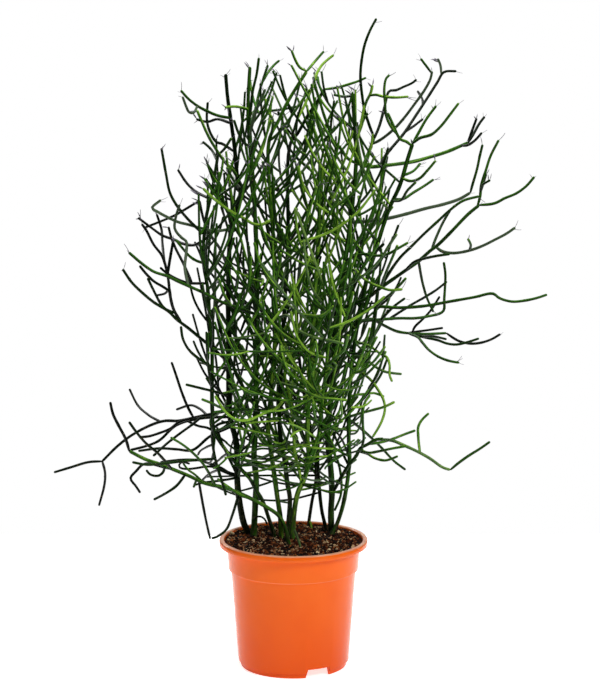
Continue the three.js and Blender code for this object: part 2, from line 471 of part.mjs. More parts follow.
  ["low_right_18", "low_right_16", -11, 3.8, 3.4, [145, 248, 143, 257, 142, 268, 142, 278, 146, 286, 154,
    294]],
  ["low_right_19", "low_right_stem", 25, 3.8, 3.4, [86, 258, 99, 260, 113, 264, 128, 270, 139, 274]],
  ["low_right_20", "low_right_stem", -87, 3.8, 3.4, [76, 252, 85, 248, 99, 250, 113, 253, 130, 256]],
  ["low_right_21", "low_right_stem", -67, 3.8, 3.2, [74, 249, 84, 247, 92, 242, 104, 239, 112, 241, 119,
    244]],
  ["low_right_22", "low_right_stem", -42, 3.8, 3.4, [77, 255, 80, 264, 79, 280, 79, 295, 81, 306, 87,
    315]],
  ["low_right_droop", "stem_right_thick", 50, 3.8, 3.2, [40, 256, 50, 240, 54.7, 216, 54, 198, 47, 180]],
  // middle, in front and behind
  ["fork_left", "stem_mid_fork", -8, 4.6, 3.6, [10, 212, 6, 230, 2, 245, 0, 274, -4, 310, -10, 342, -6,
    352, 1.5, 373, 6, 391, 10, 407]],
  ["fork_right", "stem_mid_fork", -62, 4.6, 3.8, [12, 217, 19, 235, 25, 252, 29, 271, 34, 320, 40, 380,
    41, 440]],
  ["mid_1", "stem_mid_dark", 8, 3.8, 3.2, [-6, 205, -7, 213, -12.5, 222, -17, 226]],
  ["mid_2", "fork_left", -134, 4.0, 3.4, [-1, 300, -10, 309, -19, 300, -33, 294, -51, 286, -64, 286, -77,
    295, -89, 314]],
  ["mid_3", "stem_mid_left", -101, 4.0, 3.4, [-28, 296, -45, 298, -64, 298, -91, 295]],
  ["mid_4", "stem_mid_left", -126, 4.0, 3.4, [-24, 326, -19, 329, -2, 325, 16, 318, 27, 313, 40, 311, 61,
    309]],
  ["mid_5", "stem_mid_left", -134, 4.0, 3.4, [-20, 424, -4, 417, 9, 408, 20, 406, 34, 407, 46, 417]],
  ["mid_6", "stem_mid_left", -104, 4.2, 3.4, [-21, 402, -6, 406, 4, 391, 21, 382, 44, 377, 57, 374]],
  ["mid_7", "stem_mid_left", -70, 3.8, 3.4, [-28, 302, -19, 300, -1, 291, 9, 285]],
  ["mid_8", "fork_right", -84, 3.8, 3.4, [29.5, 274, 41, 277, 56, 285]],
  ["mid_9", "fork_right", -42, 3.8, 3.2, [29, 271, 25, 259, 20, 245]],
  ["mid_front", "fork_right", -199, 4.2, 3.4, [37, 350, 50, 360, 58, 368, 62, 384]],
  ["mid_10", "fork_right", -98, 3.8, 3.4, [29.5, 275, 24, 291, 22, 306]],
];

// How far the crown reaches: at each height, its left and right edge as seen, and its greatest depth.
const CROWN = [
  [262, -70, 84, 130],
  [300, -98, 92, 175],
  [360, -112, 106, 200],
  [430, -124, 120, 208],
  [520, -112, 130, 206],
  [590, -96, 112, 180],
  [640, -72, 84, 140],
  [690, -40, 50, 90],
];

// The twigs inside the crown, which a rule places. Angles in radians, sizes as least and spread.
const INNER = {
  seed: 5,
  count: 48,
  tries: 40,
  leaders: ["stem_left_outer", "stem_left_inner", "stem_far_left", "stem_mid_left", "stem_mid_dark",
    "stem_mid_fork", "stem_right_thin", "stem_right_thick", "stem_right_outer", "stem_back", "fork_left",
    "fork_right"],
  fan: 2.1, // spread of headings round straight back or straight forward
  curl: 1.2,
  rootLift: [0.1, 0.6],
  tipLift: [0.7, 0.75],
  span: [0.3, 0.96], // the stretch of a stem that they leave from, as shares of its length
  lengths: [80, 130],
  forkSpan: [0.4, 0.8],
  forkTurn: 0.7,
  forkLengths: [45, 60],
  width: 3.9,
  tipWidth: 3.4,
};

// The narrow leaves at the tips of the highest twigs.
const LEAF = { fromZ: 600, length: 12, width: 2, thickness: 0.8, sunk: 3, angle: 0.7 };

// ---------------------------------------------------------------------------------------------
// Plant: growing it
// ---------------------------------------------------------------------------------------------

/** The value a share s of the way along evenly spaced values. */
function along(values, s) {
  const place = s * (values.length - 1);
  const i = Math.min(Math.floor(place), values.length - 2);
  return values[i] + (values[i + 1] - values[i]) * (place - i);
}

/** Pairs from a flat list of across, up, across, up. */
function pairs(flat) {
  const out = [];
  for (let i = 0; i < flat.length; i += 2) out.push([flat[i], flat[i + 1]]);
  return out;
}

/** How far along its length each point of a row lies, from 0 to 1. */
function shares(row) {
  const sums = [0];
  for (let i = 1; i < row.length; i++) {
    sums.push(sums[i - 1] + Math.hypot(row[i][0] - row[i - 1][0], row[i][1] - row[i - 1][1]));
  }
  return sums.map((sum) => sum / sums[sums.length - 1]);
}

/** The fewest of a row of points between which straight runs stay close to the whole row. */
function thinned(row) {
  const chord = new THREE.Line3(row[0], row[row.length - 1]);
  const nearest = new THREE.Vector3();
  let furthest = 0;
  let at = 0;
  for (let i = 1; i < row.length - 1; i++) {
    const stray = chord.closestPointToPoint(row[i], true, nearest).distanceTo(row[i]);
    if (stray > furthest) [furthest, at] = [stray, i];
  }
  if (furthest <= STRAY) return [row[0], row[row.length - 1]];
  return [...thinned(row.slice(0, at + 1)), ...thinned(row.slice(at)).slice(1)];
}

/** A branch: its sections, their corner radii, and close-set samples that clearances are measured between. */
function branch(name, node, points, rootWidth, tipWidth) {
  const curve = new THREE.CatmullRomCurve3(points, false, "centripetal");
  const line = thinned(curve.getPoints(FINE * (points.length - 1)));
  const isStem = name === node;
  const twigSides = rootWidth < THICK_TWIG ? 3 : 4;
  const sides = isStem ? STEM_SIDES : twigSides;
  const lengths = [0];
  for (let i = 1; i < line.length; i++) lengths.push(lengths[i - 1] + line[i].distanceTo(line[i - 1]));
  const total = lengths[lengths.length - 1];
  const widths = lengths.map((length) => rootWidth + (tipWidth - rootWidth) * (length / total));
  const radii = widths.map((width) => cornerRadius(width / 2, sides));
  if (!isStem) radii[0] *= NECK;
  const samples = [];
  for (let i = 1; i < line.length; i++) {
    const steps = Math.ceil((lengths[i] - lengths[i - 1]) / SAMPLE);
    for (let k = 0; k < steps; k++) {
      samples.push({
        point: line[i - 1].clone().lerp(line[i], k / steps),
        radius: radii[i - 1] + (radii[i] - radii[i - 1]) * (k / steps),
      });
    }
  }
  samples.push({ point: line[line.length - 1], radius: radii[radii.length - 1] });
  return { name, node, line, radii, sides, samples, solid: () => solidOf(rod(line, radii, sides)) };
}

const plant = [];

/** The least gap between a branch and all that has grown so far, leaving out where it joins its own stem. */
function gapRound(candidate) {
  const root = candidate.line[0];
  const joint = 26; // mm round its root where a branch may touch the stem that it grows from
  let least = Infinity;
  for (const sample of candidate.samples) {
    const nearRoot = sample.point.distanceTo(root) < joint;
    for (const other of plant) {
      if (nearRoot && other.node === candidate.node) continue;
      for (const each of other.samples) {
        const gap = sample.point.distanceTo(each.point) - sample.radius - each.radius;
        if (gap < least) least = gap;
      }
    }
  }
  return least;
}

function growStem(name, footWidth, topWidth, depths, flat) {
  const path = pairs(flat);
  const share = shares(path);
  const points = path.map(([across, up], i) => placed(across, up, along(depths, share[i])));
  const entry = points[0];
  const buried = [
    new THREE.Vector3(entry.x, entry.y, FOOT_Z),
    new THREE.Vector3(entry.x, entry.y, (FOOT_Z + entry.z) / 2),
  ];
  plant.push(branch(name, name, [...buried, ...points], footWidth, topWidth));
}

// What a twig may do to pass clear of the others, the least change first: shift its tip in depth, or bow.
const SHIFTS = [];
for (let tip = -8; tip <= 8; tip++) for (let bow = -3; bow <= 3; bow++) SHIFTS.push([tip * 9, bow * 11]);
const change = ([shift, bow]) => Math.hypot(shift, 1.5 * bow);
SHIFTS.sort((a, b) => change(a) - change(b) || a[0] - b[0] || a[1] - b[1]);

function growTwig(name, parentName, tipDepth, rootWidth, tipWidth, flat) {
  const parent = plant.find((each) => each.name === parentName);
  const path = pairs(flat);
  const distances = parent.samples.map(({ point }) => {
    const [across, up] = seen(point);
    return Math.hypot(across - path[0][0], up - path[0][1]);
  });
  const root = parent.samples[distances.indexOf(Math.min(...distances))].point;
  path[0] = seen(root);
  const share = shares(path);
  let best = null;
  let bestGap = -Infinity;
  for (const [shift, bow] of SHIFTS) {
    const points = path.map(([across, up], i) => {
      const reach = Math.sin((share[i] * Math.PI) / 2);
      const depth = root.y + (tipDepth + shift - root.y) * reach + bow * Math.sin(share[i] * Math.PI);
      return placed(across, up, depth);
    });
    const candidate = branch(name, parent.node, points, rootWidth, tipWidth);
    const gap = gapRound(candidate);
    if (gap > bestGap) [best, bestGap] = [candidate, gap];
    if (gap >= CLEARANCE) break;
  }
  plant.push(best);
}

/** A row of points from a root that sets out at a heading and a lift and turns to others on its way. */
function sweep(root, heading, swing, lifts, length) {
  const steps = 3;
  const points = [root];
  for (let k = 0; k < steps; k++) {
    const share = (k + 0.5) / steps;
    const lift = lifts[0] + (lifts[1] - lifts[0]) * share;
    const turn = heading + swing * share;
    const step = new THREE.Vector3(1, 0, 0).applyEuler(new THREE.Euler(0, -lift, turn, "ZYX"));
    points.push(points[k].clone().addScaledVector(step, length / steps));
  }
  return points;
}

/** Whether every point lies inside the crown. */
function insideCrown(points) {
  return points.every((point) => {
    const [across, up] = seen(point);
    const above = CROWN.findIndex(([level]) => level > up);
    if (above < 1) return false;
    const [low, high] = [CROWN[above - 1], CROWN[above]];
    const share = (up - low[0]) / (high[0] - low[0]);
    const [, left, right, reach] = low.map((value, i) => value + (high[i] - value) * share);
    return across > left && across < right && Math.abs(point.y) < reach;
  });
}

/** One twig inside the crown, drawn again until it lies in the crown and passes clear of the others. */
function growInner(name, parent, span, facing, lengths, random) {
  for (let tries = 0; tries < INNER.tries; tries++) {
    const [place, side, size, low, high, curl] = Array.from({ length: 6 }, random);
    const at = span[0] + (span[1] - span[0]) * place;
    const root = parent.samples[Math.floor(at * (parent.samples.length - 1))].point;
    const heading = facing + (side - 0.5) * INNER.fan;
    const lifts = [INNER.rootLift[0] + INNER.rootLift[1] * low, INNER.tipLift[0] + INNER.tipLift[1] * high];
    const points = sweep(root, heading, (curl - 0.5) * INNER.curl, lifts, lengths[0] + lengths[1] * size);
    if (!insideCrown(points.slice(1))) continue;
    const candidate = branch(name, parent.node, points, INNER.width, INNER.tipWidth);
    if (gapRound(candidate) < CLEARANCE) continue;
    plant.push(candidate);
    return candidate;
  }
  return null;
}

/** The twigs that fill the crown to the front and the back, each with a fork. */
function growInnerTwigs() {
  const random = seeded(INNER.seed);
  const leaders = plant.filter(({ name }) => INNER.leaders.includes(name));
  for (let i = 0; i < INNER.count; i++) {
    const facing = (i % 2 === 0 ? 1 : -1) * (Math.PI / 2);
    const leader = leaders[i % leaders.length];
    const twig = growInner(`inner_${i}`, leader, INNER.span, facing, INNER.lengths, random);
    if (!twig) continue;
    const aside = i % 4 < 2 ? INNER.forkTurn : -INNER.forkTurn;
    growInner(`inner_${i}_fork`, twig, INNER.forkSpan, facing + aside, INNER.forkLengths, random);
  }
}

/** A narrow leaf that leans out from a twig's tip, pointed at both ends. */
function growLeaf(twig, turn) {
  const tip = twig.line[twig.line.length - 1];
  const ahead = tip.clone().sub(twig.line[twig.line.length - 2]).normalize();
  const aside = new THREE.Vector3(Math.cos(turn), Math.sin(turn), 0).cross(ahead).normalize();
  const lean = ahead.clone().multiplyScalar(Math.cos(LEAF.angle));
  lean.addScaledVector(aside, Math.sin(LEAF.angle));
  const start = tip.clone().addScaledVector(ahead, -LEAF.sunk);
  const end = start.clone().addScaledVector(lean, LEAF.length);
  const leaf = branch(`${twig.name}_leaf`, twig.node, [start, end], LEAF.width, LEAF.width);
  if (gapRound(leaf) < CLEARANCE) return;
  leaf.solid = () => {
    const blade = new THREE.OctahedronGeometry(1);
    blade.scale(LEAF.length / 2, LEAF.width / 2, LEAF.thickness / 2);
    blade.applyQuaternion(new THREE.Quaternion().setFromUnitVectors(new THREE.Vector3(1, 0, 0), lean));
    blade.translate(...start.clone().lerp(end, 0.5).toArray());
    return solidOf(blade);
  };
  plant.push(leaf);
}

for (const stem of STEMS) growStem(...stem);
for (const twig of TWIGS) growTwig(...twig);
growInnerTwigs();
const highTwigs = plant.filter(({ line }) => line[line.length - 1].z > LEAF.fromZ);
highTwigs.forEach((twig, i) => growLeaf(twig, i * 2.4));

// ---------------------------------------------------------------------------------------------
// Soil
// ---------------------------------------------------------------------------------------------

/** Height of the heaped soil's surface. */
function soilHeight(x, y) {
  const radius = Math.hypot(x, y) / POT.collarTopRadius;
  const lumps =
    0.9 * Math.sin(x * 0.21 + 1.3) * Math.cos(y * 0.17 - 0.4) +
    0.6 * Math.sin(x * 0.43 - y * 0.31 + 2.1) +
    0.4 * Math.sin(y * 0.52 + 0.6);
  const hollow = 3.5 * Math.exp(-((x - 20) ** 2 + (y - 8) ** 2) / 90);
  return SOIL.edgeZ - SOIL.dip * (1 - radius * radius) + lumps - hollow;
}

/** The radius of the pot's inside at a height, less the soil's gap. */
function soilRadius(z) {
  const low = { radius: POT.bodyFootRadius - POT.wall + 0.5, z: POT.floorZ + POT.floorThickness + 1 };
  const high = { radius: POT.bodyTopRadius - POT.wall, z: POT.collarFootZ - 0.6 };
  const body = low.radius + ((high.radius - low.radius) * (z - low.z)) / (high.z - low.z);
  const rim = POT.rimRadius - POT.rimWidth - 0.6;
  const upper = z < POT.height - POT.rimDepth ? POT.collarFootRadius - POT.wall : rim;
  return (z < POT.collarFootZ ? body : upper) * Math.cos(Math.PI / SOIL.facets) - SOIL.gap;
}

function makeSoil() {
  const floor = POT.floorZ + POT.floorThickness + SOIL.gap;
  const rimFootZ = POT.height - POT.rimDepth;
  const profile = [
    [0, floor],
    [soilRadius(floor) - 1.4, floor],
    [soilRadius(floor + 1.2), floor + 1.4],
    [soilRadius(POT.collarFootZ - 2), POT.collarFootZ - 2],
    [soilRadius(POT.collarFootZ + 4) - 0.4, POT.collarFootZ + 4],
    [soilRadius(rimFootZ - 3), rimFootZ - 3],
    [soilRadius(rimFootZ + 0.5), rimFootZ + 0.5],
  ];
  const edge = soilRadius(SOIL.edgeZ);
  for (let i = SOIL.ringCount; i >= 0; i--) profile.push([(edge * i) / SOIL.ringCount, SOIL.edgeZ]);
  const geometry = turned(profile, SOIL.facets);
  const position = geometry.attributes.position;
  for (let i = 0; i < position.count; i++) {
    if (position.getZ(i) > SOIL.edgeZ - 1) position.setZ(i, soilHeight(position.getX(i), position.getY(i)));
  }
  const feet = plant.filter((each) => each.name === each.node);
  const solids = [solidOf(geometry), ...soilChips(feet)];
  const holed = joined(solids).subtract(joined(feet.map(stemHole)));
  return meshOf("soil", holed, { color: 0x4a3524, roughness: 0.95 });
}

/** Bark chips and clods, half sunk, clear of the stems. */
function soilChips(feet) {
  const random = seeded(11);
  const chips = [];
  for (let tries = 0; chips.length < SOIL.chips && tries < 400; tries++) {
    const angle = 2 * Math.PI * random();
    const radius = 66 * Math.sqrt(random());
    const size = 2.2 + 2.6 * random();
    const spins = [random(), random(), random()];
    const x = radius * Math.cos(angle);
    const y = radius * Math.sin(angle);
    const nearest = Math.min(...feet.map(({ line }) => Math.hypot(line[1].x - x, line[1].y - y)));
    if (nearest < 12) continue;
    const clod = chips.length % 3 === 0;
    const geometry = clod
      ? new THREE.IcosahedronGeometry(size * 0.8)
      : new THREE.BoxGeometry(size * 1.9, size, size * 0.6);
    geometry.rotateX(spins[0] * 0.8).rotateY(spins[1] * 0.8).rotateZ(spins[2] * Math.PI);
    geometry.translate(x, y, soilHeight(x, y) + 0.1 * size);
    chips.push(solidOf(geometry));
  }
  return chips;
}

/** The hole that a stem's foot stands in: the foot itself, wider and deeper by the gap. */
function stemHole({ line, radii }) {
  const above = line.findIndex(({ z }) => z > POT.height + 6);
  const points = line.slice(0, above + 1).map((point) => point.clone());
  points[0].z -= SOIL.gap;
  const wider = SOIL.gap / Math.cos(Math.PI / STEM_SIDES);
  return solidOf(rod(points, radii.slice(0, above + 1).map((radius) => radius + wider), STEM_SIDES));
}

// ---------------------------------------------------------------------------------------------
// The part
// ---------------------------------------------------------------------------------------------

const root = new THREE.Group();
root.add(makePot(), makeSoil());

const GREENS = [0x52701f, 0x4a661c, 0x5d7a24, 0x48631d];
STEMS.forEach(([node], i) => {
  const branches = plant.filter((each) => each.node === node);
  const solid = joined(branches.map((each) => each.solid()));
  root.add(meshOf(node, solid, { color: GREENS[i % GREENS.length], roughness: 0.5 }));
});

export default root;
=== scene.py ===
"""A pencil tree, Euphorbia tirucalli, in a moulded orange grower's pot, dressed for its portrait.

The plant is laid out in millimetres, as its solids are, and each mesh is made in metres. Every stem is one
piece with the twigs that grew from it. The front faces -Y.
"""

from __future__ import annotations

import logging
import math
from collections.abc import Callable, Iterator, Sequence
from dataclasses import dataclass, field
from enum import Enum
from functools import partial

import bmesh
import bpy
import numpy as np
from bmesh.types import BMesh, BMVert
from bpy.types import Camera, Light, Material, Mesh, Node, NodeSocket, NodeTree, Object
from mathutils import Matrix, Vector, noise

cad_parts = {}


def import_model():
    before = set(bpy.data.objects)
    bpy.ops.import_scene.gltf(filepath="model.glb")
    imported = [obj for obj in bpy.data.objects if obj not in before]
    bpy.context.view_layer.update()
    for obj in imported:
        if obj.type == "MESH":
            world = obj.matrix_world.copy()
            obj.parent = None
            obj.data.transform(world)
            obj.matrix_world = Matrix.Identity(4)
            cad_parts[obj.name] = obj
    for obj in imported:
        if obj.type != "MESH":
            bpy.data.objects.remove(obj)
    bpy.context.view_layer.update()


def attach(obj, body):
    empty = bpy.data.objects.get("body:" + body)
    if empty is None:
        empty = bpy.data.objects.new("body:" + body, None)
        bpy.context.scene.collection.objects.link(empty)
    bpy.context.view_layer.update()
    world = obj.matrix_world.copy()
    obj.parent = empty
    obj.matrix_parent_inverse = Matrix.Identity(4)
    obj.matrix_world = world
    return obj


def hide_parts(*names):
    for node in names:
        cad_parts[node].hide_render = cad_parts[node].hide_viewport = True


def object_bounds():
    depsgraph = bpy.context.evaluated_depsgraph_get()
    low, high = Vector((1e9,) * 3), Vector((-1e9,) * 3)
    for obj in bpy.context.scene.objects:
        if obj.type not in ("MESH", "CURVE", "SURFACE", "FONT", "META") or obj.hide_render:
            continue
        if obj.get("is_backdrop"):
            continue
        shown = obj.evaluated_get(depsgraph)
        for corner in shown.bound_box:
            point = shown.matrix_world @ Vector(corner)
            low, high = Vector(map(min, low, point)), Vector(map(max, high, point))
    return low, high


LOG = logging.getLogger("potted_euphorbia")
MM = 0.001
BODY = "root"

StemRow = tuple[str, float, float, tuple[float, ...], tuple[float, ...]]
Pair = tuple[float, float]
Triple = tuple[float, float, float]
TwigRow = tuple[str, str, float, float, float, list[float]]

# The plant's layout, the same as that of the solids it stands for

# Name, widths at foot and top, depths from foot to top, and the points (across, up) a stem is seen to pass.
STEMS: tuple[StemRow, ...] = (
    ("stem_left_outer", 8.6, 4.4, (35, 34, 30, 20), (-52, 153, -57, 166, -62, 193, -64, 213, -65, 260,
     -72, 290, -73, 360, -73, 449, -69, 510, -59, 545, -62, 559, -64, 578, -65.5, 596, -70.5, 633, -73,
     652, -75, 677)),
    ("stem_left_inner", 8.4, 4.2, (22, 14, 4, 0), (-45.5, 150, -44, 181, -42.5, 216, -45, 245, -44,
     260, -42, 350, -41, 460, -45, 560, -50, 620, -50, 650, -48, 685)),
    ("stem_far_left", 5.2, 4.0, (23, -6, -34, -30, -14, 6), (-21, 146, -29.5, 175, -35, 191, -44, 207,
     -50, 218, -60, 229, -77, 251, -90, 273, -92, 299, -92, 340, -92, 363, -94, 388, -96, 434, -101,
     467, -98.5, 512, -91, 546, -84, 587)),
    ("stem_mid_left", 6.6, 4.2, (18, 24, 40, 34, 16), (-14, 144.5, -15, 172, -18, 193, -21, 216, -27,
     260, -29, 276, -25, 320, -21, 375, -20, 440, -24, 520, -27, 603, -16, 626, -8.5, 642, 4, 663, 15,
     680)),
    ("stem_mid_dark", 6.4, 4.0, (4, 10, 44, 72, 64), (-8, 141.5, -4, 193, -7, 213, -10, 238, -14, 260,
     -16, 290, -12, 380, -6, 490, -3.5, 599, 6, 613, 16, 631, 27, 647, 34, 660)),
    ("stem_mid_fork", 7.0, 4.2, (16, 2, -14, -22, -20), (-1.5, 144, 2, 187, 6, 204, 10.5, 213, 15, 226,
     17.5, 245, 16, 264, 18, 330, 24, 420, 28, 500, 33, 572)),
    ("stem_right_thin", 4.8, 4.0, (48, 52, 70, 64, 50), (37.5, 156, 32.5, 180, 30, 201, 28, 230, 28,
     256, 34, 310, 50, 366, 62, 420, 72, 447, 83, 469, 93, 479, 102, 488)),
    ("stem_right_thick", 8.4, 4.6, (37, 24, 12, 2, -6), (43.5, 150, 43, 181, 44, 201, 42.5, 230, 40,
     252, 39, 278, 45, 330, 48, 400, 60, 480, 70, 577, 69.5, 605, 67, 638, 66, 656)),
    ("stem_right_outer", 5.4, 5.0, (24, 22, 14, -8, -26), (42, 147, 50, 165, 56, 184, 60, 204, 62.6,
     223, 64, 241, 63, 262, 64, 320, 70, 380, 84.5, 455, 90, 475, 96, 492, 101.5, 510, 108.5, 530, 119,
     553, 128, 584, 133, 600)),
    ("stem_back", 4.4, 3.8, (62, 66, 84, 92), (17, 160, 21, 190, 26, 219, 22, 262, 10, 330, 4, 400, 8,
     470, 20, 534)),
    ("shoot_low_left", 5.2, 4.4, (-10, -26, -34, -30, -22), (-5, 139, -15, 172, -30, 184, -44, 192,
     -60, 200, -78, 207, -103, 213, -117, 220, -131, 226, -153, 235, -168, 240, -187, 250)),
    ("shoot_front", 4.0, 3.0, (-24, -26), (9, 133, 5, 147, 1, 158)),
)

